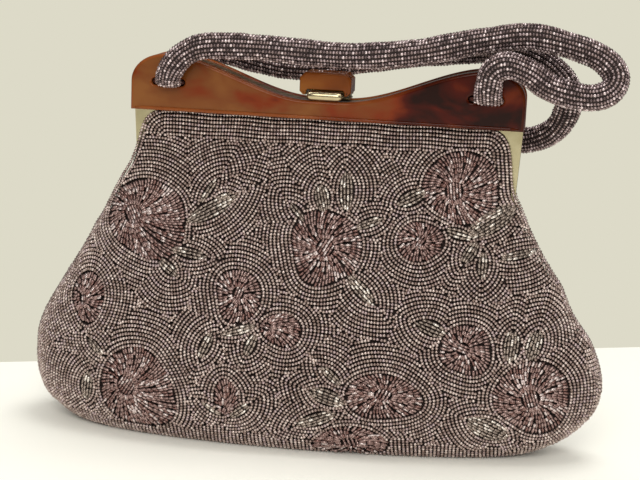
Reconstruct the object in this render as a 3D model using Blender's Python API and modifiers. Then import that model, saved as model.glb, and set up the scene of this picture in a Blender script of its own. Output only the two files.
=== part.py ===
"""Beaded evening handbag with a hinged frame, plastic frame panels, a lift clasp and two rope handles.

Metres, +Z up, origin at the middle of the flat bottom, the front facing -Y.
The frame is two inverted U-shaped metal trays that meet at the plane y = 0 and turn on rivets
at the lower ends of their arms. The front tray carries the front panel, its handle, the catch
and the upper part of the front cloth. Everything else stands with the rear tray.
"""

import math

import bmesh
import bpy
from mathutils import Matrix, Vector

# Frame. Heights are above the table, and rises are above the panels' bottom edge.
PANEL_HALF = 0.0845  # half the length of a panel
PANEL_BOTTOM_Z = 0.142
PANEL_THICKNESS = 0.0056
PANEL_BEVEL = 0.0010
PANEL_END = 0.0145  # length of a panel's rounded end, up to its highest point
PEAK_RISE = 0.0243
SHOULDER_RISE = 0.0125  # where a panel's straight end stops and its rounded end starts
DIP_RISE = 0.008  # at the middle, under the clasp
DIP_FLAT_HALF = 0.007
LIP_RADIUS = 0.0009  # the raised lip along the bottom of a panel
TRAY_DEPTH = 0.0038
SHEET = 0.0008  # thickness of the frame's sheet metal
TRAY_INSET = 0.0004  # the tray stands this far inside the panel's edge
ARM_WIDTH = 0.0047
ARM_TAPER = math.radians(3.2)  # each arm leans in towards its hinge
WINDOW_RISE = 0.0003
WINDOW_FILLET = 0.009
GAP = 0.0003  # clearance between pieces that touch
MEETING_GAP = 0.0003  # between the two trays, and between the two cloths at the seam

# Frame hinge
ARM_DROP = 0.042  # the hinge's axis below the panels' bottom edge
EAR_RADIUS = 0.0028
EAR_JOINT_RISE = 0.005  # where an ear leaves its tray, above the hinge's axis
EAR_INSET = 0.0002  # keeps an ear inside the wall that it leaves
FLANGE_END_RISE = 0.0034
RIVET_RADIUS = 0.0009
RIVET_HEAD_RADIUS = 0.0020
RIVET_HEAD = 0.0008

# Handle slots, the handles' flat ends and the rope handles
SLOT_INSET = 0.0165  # from a panel's end to the middle of its slot
SLOT_RISE = 0.0125
SLOT_WIDTH = 0.0150
SLOT_HEIGHT = 0.0032
TAB_FIT = 0.0004  # between a handle's flat end and its slot
TAB_REACH = 0.0015  # how far the flat end stands out of the panel
STOP_OVERLAP = 0.0011  # how far the stop reaches past the slot's ends
STOP_LAP = 0.0008  # and past its long sides
STOP_THICKNESS = 0.0016
HANDLE_RADIUS = 0.00575
HANDLE_END_RADIUS = 0.0020
HANDLE_TAPER = 0.014  # length over which the rope flattens towards its slot
ROPE_GAP = 0.00035  # between a rope's end and its flat sewn end
ROPE_STEP_SHARE = 1.85  # distance between points on the rope, as a share of its radius

# Panel rivets
PANEL_RIVET_INSET = 0.028  # from a slot's middle towards the clasp
PANEL_RIVET_RISE = 0.006
PANEL_RIVET_RADIUS = 0.0008
PANEL_RIVET_HEAD_RADIUS = 0.0017
PANEL_RIVET_HEAD = 0.0006
PANEL_RIVET_REACH = 0.0022  # into the panel
PIN_FIT = 0.0003  # round every rivet and pin

# Lift clasp. Its rises are above the dip.
CLASP_PIN_Y = 0.0076
CLASP_PIN_RISE = 0.0032
CLASP_PIN_RADIUS = 0.0007
CLASP_HEAD_RADIUS = 0.0011
CLASP_HEAD = 0.0005
BLOCK_HALF = 0.011
BLOCK_DEPTH = 0.0132
BLOCK_FRONT_Y = -0.0084
BLOCK_HEIGHT = 0.0097
BLOCK_ROUND = 0.0012
BASE_INSET = 0.0015  # from the block's ends to the base plate's
BASE_THICKNESS = 0.0006
BASE_RISE = 0.00035
BASE_FRONT_Y = 0.0006
LUG_RADIUS = 0.0019
LUG_THICKNESS = 0.0008
LUG_INSET = 0.0004  # from the base plate's ends
BARREL_RADIUS = 0.0016
BARREL_FIT = 0.0004  # between the lever's barrel and the lugs
STRIP_INSET = 0.0005  # from the barrel's ends to the strip's edges
STRIP_RISE = 0.0013
STRIP_THICKNESS = 0.0007
STRIP_REACH = 0.0021  # from the front of the lip bar back to the strip's front edge
CATCH_HALF = 0.0036
CATCH_THICKNESS = 0.0008
CATCH_FOOT_SPREAD = 0.0009  # the catch's foot beyond its post at each side
CATCH_FOOT = 0.0005
CATCH_Y = -0.0035
CATCH_ROOM = 0.0007  # round the catch in the strip's window
LIP_BAR_HALF = 0.0075
LIP_BAR_REACH = 0.0019  # in front of the block
LIP_BAR_DEPTH = 0.0027
LIP_BAR_RISE = 0.0007
LIP_BAR_HEIGHT = 0.0035
LIP_BAR_ROUND = 0.0011

# Cloth and lining
BODY_SPREAD = 0.0385  # how far the pouch stands out beyond each end of the panels
BODY_HALF_DEPTH = 0.032
MOUTH_DROP = 0.012  # the fold of the front cloth below the hinge's axis
MOUTH_INSET = 0.0145  # from the panels' ends to the mouth's
MOUTH_EDGE_DEPTH = 0.0136
MOUTH_DEPTH = 0.0206
CLOTH = 0.0016  # beads, thread and cloth together
LINING = 0.0005
LINING_GAP = 0.0004
WINDOW_EDGE_DEPTH = 0.0038
SEAM_OVERRUN = math.radians(5)  # how far the grid runs past the seam before it is trimmed

OVERRUN = 0.004  # how far a cutter runs past what it cuts
MERGE = 0.00001
SMOOTH_ANGLE = math.radians(35)
ROUND_STEPS = 16

# Shares of the mouth's height, the body's half width, the mouth's edge depth and the body's
# half depth, and the fullness of the section, from just below the mouth to the flat bottom.
# Where the third share is zero, the front and back cloths meet at the seam.
POUCH_SHARES = [
    (0.986, 0.690, 0.87, 0.668, 1.12),
    (0.955, 0.785, 0.57, 0.697, 1.03),
    (0.905, 0.832, 0.24, 0.735, 0.96),
    (0.850, 0.858, 0, 0.780, 0.90),
    (0.720, 0.903, 0, 0.868, 0.87),
    (0.590, 0.955, 0, 0.942, 0.85),
    (0.470, 0.990, 0, 0.988, 0.85),
    (0.370, 1.000, 0, 1.000, 0.85),
    (0.280, 0.984, 0, 0.985, 0.85),
    (0.205, 0.952, 0, 0.945, 0.85),
    (0.136, 0.903, 0, 0.880, 0.85),
    (0.080, 0.840, 0, 0.790, 0.85),
    (0.034, 0.760, 0, 0.670, 0.85),
    (0.009, 0.690, 0, 0.560, 0.85),
    (0.000, 0.630, 0, 0.455, 0.85),
]
BOTTOM_SEAM_SHARE = 0.600  # of the body's half width

# Shares of the way from the mouth to the window's fillet, and of the mouth's depth
NECK_SHARES = [
    (0.90, 0.365),
    (0.76, 0.465),
    (0.56, 0.605),
    (0.38, 0.735),
    (0.22, 0.850),
    (0.10, 0.935),
]
NECK_TOP_SHARES = (0.215, 0.235, 0.255, 0.290)  # depth of the rows round the fillet
NECK_FULLNESS_SHARE = 1.20

# The rope handles' routes, from the left slot to the right one. Each point gives its place
# along the frame as a share of the slots' distance from the middle, and then how far it stands
# out from the handle's flat end and up from the slots, both as shares of the rope's radius.
FRONT_ROUTE_SHARES = [
    (-1.000, 0.000, 0.000),
    (-1.000, 0.296, 0.000),
    (-0.988, 0.609, 0.470),
    (-0.949, 0.783, 1.391),
    (-0.868, 0.783, 2.348),
    (-0.735, 0.522, 2.904),
    (-0.419, 0.174, 2.957),
    (0.147, 0.174, 2.696),
    (0.576, 0.052, 3.235),
    (0.935, -0.296, 4.157),
    (1.234, -0.557, 4.696),
    (1.484, -0.643, 4.209),
    (1.679, -0.470, 3.391),
    (1.769, -0.122, 2.209),
    (1.734, 0.313, 1.130),
    (1.603, 0.574, 0.696),
    (1.387, 0.835, 1.252),
    (1.250, 1.096, 2.261),
    (1.125, 1.165, 2.730),
    (1.029, 1.061, 2.209),
    (1.003, 0.817, 1.130),
    (1.000, 0.574, 0.365),
    (1.000, 0.296, 0.000),
    (1.000, 0.000, 0.000),
]
REAR_ROUTE_SHARES = [
    (-1.000, 0.000, 0.000),
    (-1.000, 0.296, 0.000),
    (-0.997, 0.609, 0.470),
    (-0.974, 0.800, 1.339),
    (-0.915, 0.852, 2.087),
    (-0.809, 0.817, 2.313),
    (-0.656, 0.922, 1.913),
    (-0.369, 1.565, 1.165),
    (-0.110, 1.861, 1.165),
    (0.150, 1.861, 1.826),
    (0.541, 1.217, 2.643),
    (0.924, 0.574, 3.217),
    (1.147, -0.035, 3.304),
    (1.331, -0.643, 2.696),
    (1.456, -0.957, 1.565),
    (1.503, -0.817, 0.087),
    (1.474, -0.122, -1.478),
    (1.399, 0.748, -2.661),
    (1.265, 1.443, -3.391),
    (1.125, 1.704, -3.304),
    (1.029, 1.583, -2.435),
    (1.000, 1.183, -1.391),
    (1.000, 0.713, -0.522),
    (1.000, 0.296, 0.000),
    (1.000, 0.000, 0.000),
]

# Places along the frame, and heights above the table
PEAK_X = PANEL_HALF - PANEL_END
SLOT_X = PANEL_HALF - SLOT_INSET
PANEL_RIVET_X = SLOT_X - PANEL_RIVET_INSET
TRAY_HALF = PANEL_HALF - TRAY_INSET
BODY_HALF_WIDTH = PANEL_HALF + BODY_SPREAD
MOUTH_HALF = PANEL_HALF - MOUTH_INSET
PEAK_Z = PANEL_BOTTOM_Z + PEAK_RISE
SHOULDER_Z = PANEL_BOTTOM_Z + SHOULDER_RISE
DIP_Z = PANEL_BOTTOM_Z + DIP_RISE
WINDOW_TOP_Z = PANEL_BOTTOM_Z + WINDOW_RISE
SLOT_Z = PANEL_BOTTOM_Z + SLOT_RISE
PANEL_RIVET_Z = PANEL_BOTTOM_Z + PANEL_RIVET_RISE
HINGE_Z = PANEL_BOTTOM_Z - ARM_DROP
EAR_JOINT_Z = HINGE_Z + EAR_JOINT_RISE
FLANGE_END_Z = HINGE_Z + FLANGE_END_RISE
ARM_END_Z = HINGE_Z - EAR_RADIUS
MOUTH_Z = HINGE_Z - MOUTH_DROP
CLASP_PIN_Z = DIP_Z + CLASP_PIN_RISE
STRIP_BOTTOM_Z = DIP_Z + STRIP_RISE
STRIP_TOP_Z = STRIP_BOTTOM_Z + STRIP_THICKNESS
BLOCK_BOTTOM_Z = STRIP_TOP_Z + GAP

# Depths of the layers in front of the meeting plane, all measured towards the front
TRAY_BACK = MEETING_GAP / 2
WEB_BACK = TRAY_BACK + TRAY_DEPTH - SHEET
WEB_FRONT = TRAY_BACK + TRAY_DEPTH
PANEL_BACK = WEB_FRONT + GAP
PANEL_FRONT = PANEL_BACK + PANEL_THICKNESS

# Half lengths of the clasp's pieces
BASE_HALF = BLOCK_HALF - BASE_INSET
LUG_INNER_X = BASE_HALF - LUG_INSET - LUG_THICKNESS
BARREL_HALF = LUG_INNER_X - BARREL_FIT
STRIP_HALF = BARREL_HALF - STRIP_INSET


def start_scene():
    for old in list(bpy.data.objects):
        bpy.data.objects.remove(old)
    parts = bpy.data.collections.new("beaded_handbag")
    cutters = bpy.data.collections.new("cutters")
    bpy.context.scene.collection.children.link(parts)
    bpy.context.scene.collection.children.link(cutters)
    return parts, cutters


PARTS, CUTTERS = start_scene()


def add_object(name, data):
    """A new object in the cutters' collection, hidden from renders until finish() shows it."""
    made = bpy.data.objects.new(name, data)
    CUTTERS.objects.link(made)
    made.hide_render = True
    made.display_type = "WIRE"
    return made


def bake(source, name):
    """The evaluated shape of an object as a plain mesh object in world space; the source goes."""
    bpy.context.view_layer.update()
    seen = source.evaluated_get(bpy.context.evaluated_depsgraph_get())
    mesh = bpy.data.meshes.new_from_object(seen)
    mesh.transform(source.matrix_world)
    bpy.data.objects.remove(source)
    shape = bmesh.new()
    shape.from_mesh(mesh)
    bmesh.ops.remove_doubles(shape, verts=shape.verts, dist=MERGE)
    bmesh.ops.recalc_face_normals(shape, faces=shape.faces)
    shape.to_mesh(mesh)
    shape.free()
    return add_object(name, mesh)


def boolean(target, tool, operation):
    cut = target.modifiers.new(operation.lower(), "BOOLEAN")
    cut.operation = operation
    cut.solver = "EXACT"
    cut.object = tool


def finish(made, colour, roughness, metallic):
    """Shows an object as a part, with its own material and smooth shading."""
    CUTTERS.objects.unlink(made)
    PARTS.objects.link(made)
    made.hide_render = False
    made.display_type = "TEXTURED"
    look = bpy.data.materials.new(made.name)
    look.use_nodes = True
    shader = look.node_tree.nodes["Principled BSDF"]
    shader.inputs["Base Color"].default_value = (*colour, 1)
    shader.inputs["Roughness"].default_value = roughness
    shader.inputs["Metallic"].default_value = metallic
    made.data.materials.clear()
    made.data.materials.append(look)
    if isinstance(made.data, bpy.types.Mesh):
        made.data.shade_smooth()
        made.data.set_sharp_from_angle(angle=SMOOTH_ANGLE)
    return made


METAL = ((0.74, 0.68, 0.52), 0.35, 1.0)
GOLD = ((0.86, 0.66, 0.33), 0.2, 1.0)
TORTOISE = ((0.22, 0.055, 0.02), 0.12, 0.0)
BEADS = ((0.18, 0.15, 0.17), 0.35, 0.6)
SATIN = ((0.55, 0.47, 0.36), 0.5, 0.0)


def box(name, low, high, round_width=0.0):
    made_at = [(a + b) / 2 for a, b in zip(low, high)]
    bpy.ops.mesh.primitive_cube_add(size=1, location=made_at)
    cube = bpy.context.object
    cube.scale = [b - a for a, b in zip(low, high)]
    if round_width:
        bpy.ops.object.transform_apply(location=False, rotation=False, scale=True)
        bevel = cube.modifiers.new("round", "BEVEL")
        bevel.width = round_width
        bevel.segments = 3
    return bake(cube, name)


def rod(name, radius, along, start, end, at):
    """A cylinder along X or Y from start to end, its axis through the point at."""
    turn = {"X": (0, math.pi / 2, 0), "Y": (math.pi / 2, 0, 0)}[along]
    middle = Vector(at)
    middle["XY".index(along)] = (start + end) / 2
    bpy.ops.mesh.primitive_cylinder_add(
        vertices=ROUND_STEPS, radius=radius, depth=end - start, location=middle, rotation=turn
    )
    return bake(bpy.context.object, name)


def turned(name, profile, turn, at):
    """A turned piece from its profile, given as (radius, height) pairs from top to bottom."""
    mesh = bpy.data.meshes.new(name)
    corners = [(radius, 0, height) for radius, height in profile]
    mesh.from_pydata(corners, [(i, i + 1) for i in range(len(corners) - 1)], [])
    lathe = add_object(name, mesh)
    screw = lathe.modifiers.new("turn", "SCREW")
    screw.steps = ROUND_STEPS
    screw.render_steps = ROUND_STEPS
    screw.use_merge_vertices = True
    screw.merge_threshold = MERGE
    lathe.rotation_euler = turn
    lathe.location = at
    return bake(lathe, name)


def cut_out(name, outline, near, far, plane="XZ", edge=0.0):
    """A flat outline given thickness. In the XZ plane it reaches from y = -far to y = -near,
    and in the YZ plane from x = near to x = far."""
    curve = bpy.data.curves.new(name, "CURVE")
    curve.dimensions = "2D"
    curve.fill_mode = "BOTH"
    curve.extrude = (far - near) / 2 - edge
    curve.bevel_depth = edge
    curve.bevel_resolution = 1
    curve.offset = -edge
    spline = curve.splines.new("POLY")
    spline.points.add(len(outline) - 1)
    for point, (across, up) in zip(spline.points, outline):
        point.co = (across, up, 0, 1)
    spline.use_cyclic_u = True
    sheet = add_object(name, curve)
    if plane == "XZ":
        sheet.matrix_world = Matrix.Translation((0, -(near + far) / 2, 0)) @ Matrix.Rotation(
            math.pi / 2, 4, "X"
        )
    else:
        stand = Matrix(((0, 0, 1, (near + far) / 2), (1, 0, 0, 0), (0, 1, 0, 0), (0, 0, 0, 1)))
        sheet.matrix_world = stand
    return bake(sheet, name)


def half_turn(made):
    """Turns a baked object half round the vertical axis, from the front to the rear."""
    made.data.transform(Matrix.Rotation(math.pi, 4, "Z"))
    return made


def mirrored(made):
    """Adds the other side's copy of a shape that lies on one side of x = 0."""
    mirror = made.modifiers.new("mirror", "MIRROR")
    mirror.use_clip = False
    mirror.merge_threshold = MERGE
    return bake(made, made.name)


def duplicate(made, name):
    return add_object(name, made.data.copy())


def smooth_step(share):
    share = min(max(share, 0), 1)
    return share * share * (3 - 2 * share)


def crest_z(x):
    """Height of a panel's top edge between its two peaks."""
    rise = smooth_step((abs(x) - DIP_FLAT_HALF) / (PEAK_X - DIP_FLAT_HALF))
    return DIP_Z + (PEAK_Z - DIP_Z) * rise


def crest(inset):
    """The right half of a panel's end and top edge, from the shoulder to the middle."""
    half = PANEL_HALF - inset
    points = []
    for step in range(8):
        angle = math.pi / 2 * step / 7
        across = PEAK_X + (half - PEAK_X) * math.cos(angle)
        points.append((across, SHOULDER_Z + (PEAK_Z - inset - SHOULDER_Z) * math.sin(angle)))
    for step in range(1, 13):
        across = PEAK_X - (PEAK_X - DIP_FLAT_HALF) * step / 12
        points.append((across, crest_z(across) - inset))
    return points


def both_sides(right):
    return right + [(-across, up) for across, up in reversed(right)]


def arm_outer_x(z):
    return TRAY_HALF - max(PANEL_BOTTOM_Z - z, 0) * math.tan(ARM_TAPER)


def arm_inner_x(z):
    return arm_outer_x(z) - ARM_WIDTH


def window_edge(inset):
    """The window's right top corner and side inside the arms, from the top down."""
    top = WINDOW_TOP_Z - inset
    radius = WINDOW_FILLET - inset
    centre_z = top - radius
    centre_x = arm_inner_x(centre_z) - WINDOW_FILLET
    points = []
    for step in range(5):
        angle = math.pi / 2 * (1 - step / 4)
        points.append((centre_x + radius * math.cos(angle), centre_z + radius * math.sin(angle)))
    return points


def tray(name):
    """One half of the frame in its front place: a web with a rim turned back round its outside."""
    arm_radius = ARM_WIDTH / 2
    arm_centre_z = ARM_END_Z + arm_radius
    arm_centre_x = arm_outer_x(arm_centre_z) - arm_radius
    right = window_edge(0)
    for step in range(7):
        angle = math.pi + math.pi * step / 6
        right.append(
            (arm_centre_x + arm_radius * math.cos(angle), arm_centre_z + arm_radius * math.sin(angle))
        )
    right.append((arm_outer_x(PANEL_BOTTOM_Z), PANEL_BOTTOM_Z))
    right += crest(TRAY_INSET)
    made = cut_out(name, both_sides(right), TRAY_BACK, WEB_FRONT)

    hollow_low = ARM_END_Z - OVERRUN
    inside = [(arm_outer_x(hollow_low) - SHEET, hollow_low)]
    inside.append((arm_outer_x(PANEL_BOTTOM_Z) - SHEET, PANEL_BOTTOM_Z))
    inside += crest(TRAY_INSET + SHEET)
    hollow = cut_out(name + "_hollow", both_sides(inside), TRAY_BACK - OVERRUN, WEB_BACK)
    boolean(made, hollow, "DIFFERENCE")
    reach = TRAY_HALF + OVERRUN
    below = box(
        name + "_flange_end",
        (-reach, -WEB_BACK, hollow_low),
        (reach, OVERRUN, FLANGE_END_Z),
    )
    boolean(made, below, "DIFFERENCE")
    for side in (-1, 1):
        slot = handle_slot(name + "_slot", side * SLOT_X)
        boolean(made, slot, "DIFFERENCE")
        hole = rod(
            name + "_rivet_hole",
            PANEL_RIVET_RADIUS + PIN_FIT,
            "Y",
            -PANEL_BACK,
            -WEB_BACK + OVERRUN,
            (side * PANEL_RIVET_X, 0, PANEL_RIVET_Z),
        )
        boolean(made, hole, "DIFFERENCE")
    return bake(made, name)


def handle_slot(name, centre_x):
    """A cutter with round ends for a handle's slot, through the front panel and the web."""
    radius = SLOT_HEIGHT / 2
    straight = SLOT_WIDTH / 2 - radius
    outline = []
    for step in range(14):
        angle = -math.pi / 2 + math.pi * (step % 7) / 6 + (math.pi if step > 6 else 0)
        side = 1 if step < 7 else -1
        outline.append(
            (centre_x + side * straight + radius * math.cos(angle), SLOT_Z + radius * math.sin(angle))
        )
    return cut_out(name, outline, TRAY_BACK, PANEL_FRONT + OVERRUN)


def hinge_ears(made, outer_x):
    """Adds the two round hinge ears to a tray in its front place, and bores them."""
    neck_back = -GAP
    neck_front = -EAR_RADIUS
    start = math.acos(neck_back / EAR_RADIUS)
    outline = [(neck_front, EAR_JOINT_Z + SHEET), (neck_front, HINGE_Z)]
    for step in range(1, 15):
        angle = math.pi + (math.pi + start) * step / 14
        outline.append((EAR_RADIUS * math.cos(angle), HINGE_Z + EAR_RADIUS * math.sin(angle)))
    outline.append((neck_back, EAR_JOINT_Z + SHEET))
    ear = cut_out(made.name + "_ear", outline, outer_x - SHEET, outer_x, "YZ")
    joggle = box(
        made.name + "_joggle",
        (outer_x - SHEET / 2, neck_front + EAR_INSET, FLANGE_END_Z + SHEET / 2),
        (rear_ear_x() - EAR_INSET, neck_back - EAR_INSET, EAR_JOINT_Z + SHEET / 2),
    )
    boolean(made, mirrored(ear), "UNION")
    boolean(made, mirrored(joggle), "UNION")
    bore = rod(
        made.name + "_bore",
        RIVET_RADIUS + PIN_FIT,
        "X",
        -TRAY_HALF - OVERRUN,
        TRAY_HALF + OVERRUN,
        (0, 0, HINGE_Z),
    )
    boolean(made, bore, "DIFFERENCE")
    return bake(made, made.name)


def panel(name):
    """A frame panel in its front place: a bevelled outline with a lip along its bottom."""
    right = [(PANEL_HALF, PANEL_BOTTOM_Z)] + crest(0)
    made = cut_out(name, both_sides(right), PANEL_BACK, PANEL_FRONT, edge=PANEL_BEVEL)
    lip_end = PANEL_HALF - PANEL_BEVEL
    lip = rod(
        name + "_lip",
        LIP_RADIUS,
        "X",
        -lip_end,
        lip_end,
        (0, -PANEL_FRONT, PANEL_BOTTOM_Z + PANEL_BEVEL + LIP_RADIUS),
    )
    boolean(made, lip, "UNION")
    for side in (-1, 1):
        boolean(made, handle_slot(name + "_slot", side * SLOT_X), "DIFFERENCE")
        blind = rod(
            name + "_rivet_hole",
            PANEL_RIVET_RADIUS + PIN_FIT,
            "Y",
            -PANEL_BACK - PANEL_RIVET_REACH - GAP,
            -PANEL_BACK + OVERRUN,
            (side * PANEL_RIVET_X, 0, PANEL_RIVET_Z),
        )
        boolean(made, blind, "DIFFERENCE")
    return bake(made, name)


def panel_rivet(name, x):
    """A rivet from inside the tray into the back of the front panel."""
    head_top = PANEL_RIVET_HEAD
    end = GAP + SHEET + GAP + PANEL_RIVET_REACH
    profile = [
        (0, head_top),
        (PANEL_RIVET_HEAD_RADIUS * math.cos(math.pi / 4), head_top),
        (PANEL_RIVET_HEAD_RADIUS, head_top / 2),
        (PANEL_RIVET_HEAD_RADIUS, 0),
        (PANEL_RIVET_RADIUS, 0),
        (PANEL_RIVET_RADIUS, -end),
        (0, -end),
    ]
    at = (x, -WEB_BACK + GAP, PANEL_RIVET_Z)
    return turned(name, profile, (-math.pi / 2, 0, 0), at)


def hinge_rivet(name, side):
    """A rivet through a pair of ears, with a domed head outside and a flat one inside."""
    outer = rear_ear_x() + GAP
    inner = front_ear_x() - SHEET - GAP
    dome = RIVET_HEAD_RADIUS * math.cos(math.pi / 4)
    profile = [
        (0, outer + RIVET_HEAD),
        (dome, outer + RIVET_HEAD * math.sin(math.pi / 4)),
        (RIVET_HEAD_RADIUS, outer),
        (RIVET_RADIUS, outer),
        (RIVET_RADIUS, inner),
        (RIVET_HEAD_RADIUS, inner),
        (RIVET_HEAD_RADIUS, inner - RIVET_HEAD),
        (0, inner - RIVET_HEAD),
    ]
    return turned(name, profile, (0, side * math.pi / 2, 0), (0, 0, HINGE_Z))


def rear_ear_x():
    return arm_outer_x(FLANGE_END_Z) - EAR_INSET


def front_ear_x():
    return rear_ear_x() - SHEET - GAP


def handle_end(name, x):
    """The flat sewn end of a handle, with the stop that holds it behind the front web."""
    half = SLOT_WIDTH / 2 - TAB_FIT
    tab = box(
        name,
        (x - half, -PANEL_FRONT - TAB_REACH, SLOT_Z - SLOT_HEIGHT / 2 + TAB_FIT),
        (x + half, -WEB_BACK + GAP + STOP_THICKNESS / 2, SLOT_Z + SLOT_HEIGHT / 2 - TAB_FIT),
        TAB_FIT,
    )
    stop_half = SLOT_WIDTH / 2 + STOP_OVERLAP
    stop_up = SLOT_HEIGHT / 2 + STOP_LAP
    stop_back = -WEB_BACK + GAP
    stop = box(
        name + "_stop",
        (x - stop_half, stop_back, SLOT_Z - stop_up),
        (x + stop_half, stop_back + STOP_THICKNESS, SLOT_Z + stop_up),
        TAB_FIT,
    )
    boolean(tab, stop, "UNION")
    return bake(tab, name)


def smooth_route(route):
    """Points and radii along a smooth curve through a route, closer where the rope is thin."""
    knots = [Vector(point) for point in route]
    ends = [2 * knots[0] - knots[1]] + knots + [2 * knots[-1] - knots[-2]]
    fine = []
    for before, start, end, after in zip(ends, ends[1:], ends[2:], ends[3:]):
        for step in range(16):
            share = step / 16
            fine.append(
                0.5
                * (
                    2 * start
                    + (end - before) * share
                    + (2 * before - 5 * start + 4 * end - after) * share**2
                    + (3 * start - before - 3 * end + after) * share**3
                )
            )
    fine.append(knots[-1])
    travelled = [0.0]
    for start, end in zip(fine, fine[1:]):
        travelled.append(travelled[-1] + (end - start).length)
    length = travelled[-1]

    def radius_at(distance):
        from_end = min(distance, length - distance)
        grown = smooth_step(from_end / HANDLE_TAPER)
        return HANDLE_END_RADIUS + (HANDLE_RADIUS - HANDLE_END_RADIUS) * grown

    chosen = [0.0]
    while chosen[-1] < length / 2:
        room = radius_at(chosen[-1]) - HANDLE_END_RADIUS / 2
        chosen.append(chosen[-1] + ROPE_STEP_SHARE * room)
    shrink = length / 2 / chosen[-1]
    first = [distance * shrink for distance in chosen]
    stations = first + [length - distance for distance in reversed(first[:-1])]
    points = []
    place = 0
    for station in stations:
        while place < len(fine) - 2 and travelled[place + 1] < station:
            place += 1
        share = (station - travelled[place]) / (travelled[place + 1] - travelled[place])
        points.append((fine[place].lerp(fine[place + 1], share), radius_at(station)))
    return points, length


def rope(name, route_shares, out):
    """A handle outside the front panel, where out is -1, or outside the rear one."""
    start = PANEL_FRONT + TAB_REACH + ROPE_GAP
    route = []
    for along_share, out_share, up_share in route_shares:
        away = start + out_share * HANDLE_RADIUS
        route.append((along_share * SLOT_X, out * away, SLOT_Z + up_share * HANDLE_RADIUS))
    points, length = smooth_route(route)
    curve = bpy.data.curves.new(name, "CURVE")
    curve.dimensions = "3D"
    curve.bevel_depth = HANDLE_RADIUS
    curve.bevel_resolution = 2
    curve.use_fill_caps = True
    spline = curve.splines.new("POLY")
    spline.points.add(len(points) - 1)
    for knot, (place, radius) in zip(spline.points, points):
        knot.co = (*place, 1)
        knot.radius = radius / HANDLE_RADIUS
    print(name, "points", len(points), "length", round(length, 4))
    return bake(add_object(name, curve), name)


def neck_rows():
    """Rows of the cloth inside the frame's window: height, half width, edge depth, depth."""
    rows = []
    for (half, z), share in zip(window_edge(GAP), NECK_TOP_SHARES):
        rows.append((z, half, WINDOW_EDGE_DEPTH, share * MOUTH_DEPTH, NECK_FULLNESS_SHARE))
    fillet_z = window_edge(GAP)[-1][1]
    for share, depth_share in NECK_SHARES:
        z = MOUTH_Z + (fillet_z - MOUTH_Z) * share
        drawn = smooth_step((HINGE_Z + WINDOW_FILLET - z) / (HINGE_Z + WINDOW_FILLET - MOUTH_Z))
        half = (arm_inner_x(z) - GAP) * (1 - drawn) + MOUTH_HALF * drawn
        edge = WINDOW_EDGE_DEPTH + (MOUTH_EDGE_DEPTH - WINDOW_EDGE_DEPTH) * drawn
        rows.append((z, half, edge, depth_share * MOUTH_DEPTH, NECK_FULLNESS_SHARE))
    return rows


def mouth_row(z):
    return (z, MOUTH_HALF, MOUTH_EDGE_DEPTH, MOUTH_DEPTH, NECK_FULLNESS_SHARE)


def pouch_rows():
    rows = []
    for height_share, width_share, edge_share, depth_share, fullness_share in POUCH_SHARES:
        width = width_share * BODY_HALF_WIDTH
        edge = edge_share * MOUTH_EDGE_DEPTH
        depth = depth_share * BODY_HALF_DEPTH
        rows.append((height_share * MOUTH_Z, width, edge, depth, fullness_share))
    return rows


def cloth(name, rows, columns, inset, thickness):
    """Half of the bag's skin over a list of rows, in its front place, trimmed at the seam."""
    corners = []
    for z, half, edge, depth, fullness in rows:
        reach = math.pi / 2 + (0 if edge else SEAM_OVERRUN)
        for column in range(columns + 1):
            angle = reach * (2 * column / columns - 1)
            rise = math.cos(angle)
            bulge = math.copysign(abs(rise) ** fullness, rise)
            corners.append((half * math.sin(angle), -(edge + (depth - edge) * bulge), z))
    if not rows[-1][2]:
        seam = BOTTOM_SEAM_SHARE * BODY_HALF_WIDTH
        for column in range(columns + 1):
            angle = math.pi / 2 * (2 * column / columns - 1)
            corners.append((seam * math.sin(angle), OVERRUN / 2, 0))
    faces = []
    across = columns + 1
    for row in range(len(corners) // across - 1):
        for column in range(columns):
            above = row * across + column
            below = above + across
            # the diagonals of the left and right halves mirror each other
            if column < columns / 2:
                faces += [(above, below, above + 1), (above + 1, below, below + 1)]
            else:
                faces += [(above, below, below + 1), (above, below + 1, above + 1)]
    mesh = bpy.data.meshes.new(name)
    mesh.from_pydata(corners, [], faces)
    made = add_object(name, mesh)
    if inset:
        shift = made.modifiers.new("inset", "DISPLACE")
        shift.strength = -inset
        shift.mid_level = 0
    skin = made.modifiers.new("skin", "SOLIDIFY")
    skin.thickness = thickness
    skin.offset = -1
    made = bake(made, name)
    wide = BODY_HALF_WIDTH + OVERRUN
    if rows[-1][2]:
        low = (-wide, -BODY_HALF_DEPTH, MOUTH_Z - OVERRUN)
        beyond = box(name + "_fold", low, (wide, OVERRUN, MOUTH_Z + GAP))
    else:
        low = (-wide, -MEETING_GAP / 2, -OVERRUN)
        beyond = box(name + "_seam", low, (wide, BODY_HALF_DEPTH, MOUTH_Z))
    boolean(made, beyond, "DIFFERENCE")
    return bake(made, name)


def make_cloths():
    """The beaded cloths and their linings. The front ones are cut where the cloth folds."""
    neck = neck_rows()
    pouch = pouch_rows()
    upper = neck + [mouth_row(MOUTH_Z + GAP)]
    lower = [mouth_row(MOUTH_Z)] + pouch
    whole = neck + [mouth_row(MOUTH_Z)] + pouch
    inset = CLOTH + LINING_GAP
    made = {}
    made["front_cloth"] = cloth("front_cloth", lower, 20, 0, CLOTH)
    made["front_cloth_top"] = cloth("front_cloth_top", upper, 20, 0, CLOTH)
    made["back_cloth"] = half_turn(cloth("back_cloth", whole, 20, 0, CLOTH))
    made["front_lining"] = cloth("front_lining", lower, 20, inset, LINING)
    made["front_lining_top"] = cloth("front_lining_top", upper, 20, inset, LINING)
    made["back_lining"] = half_turn(cloth("back_lining", whole, 20, inset, LINING))
    for name, piece in made.items():
        look = SATIN if "lining" in name else BEADS
        finish(piece, *look)
    return made


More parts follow.
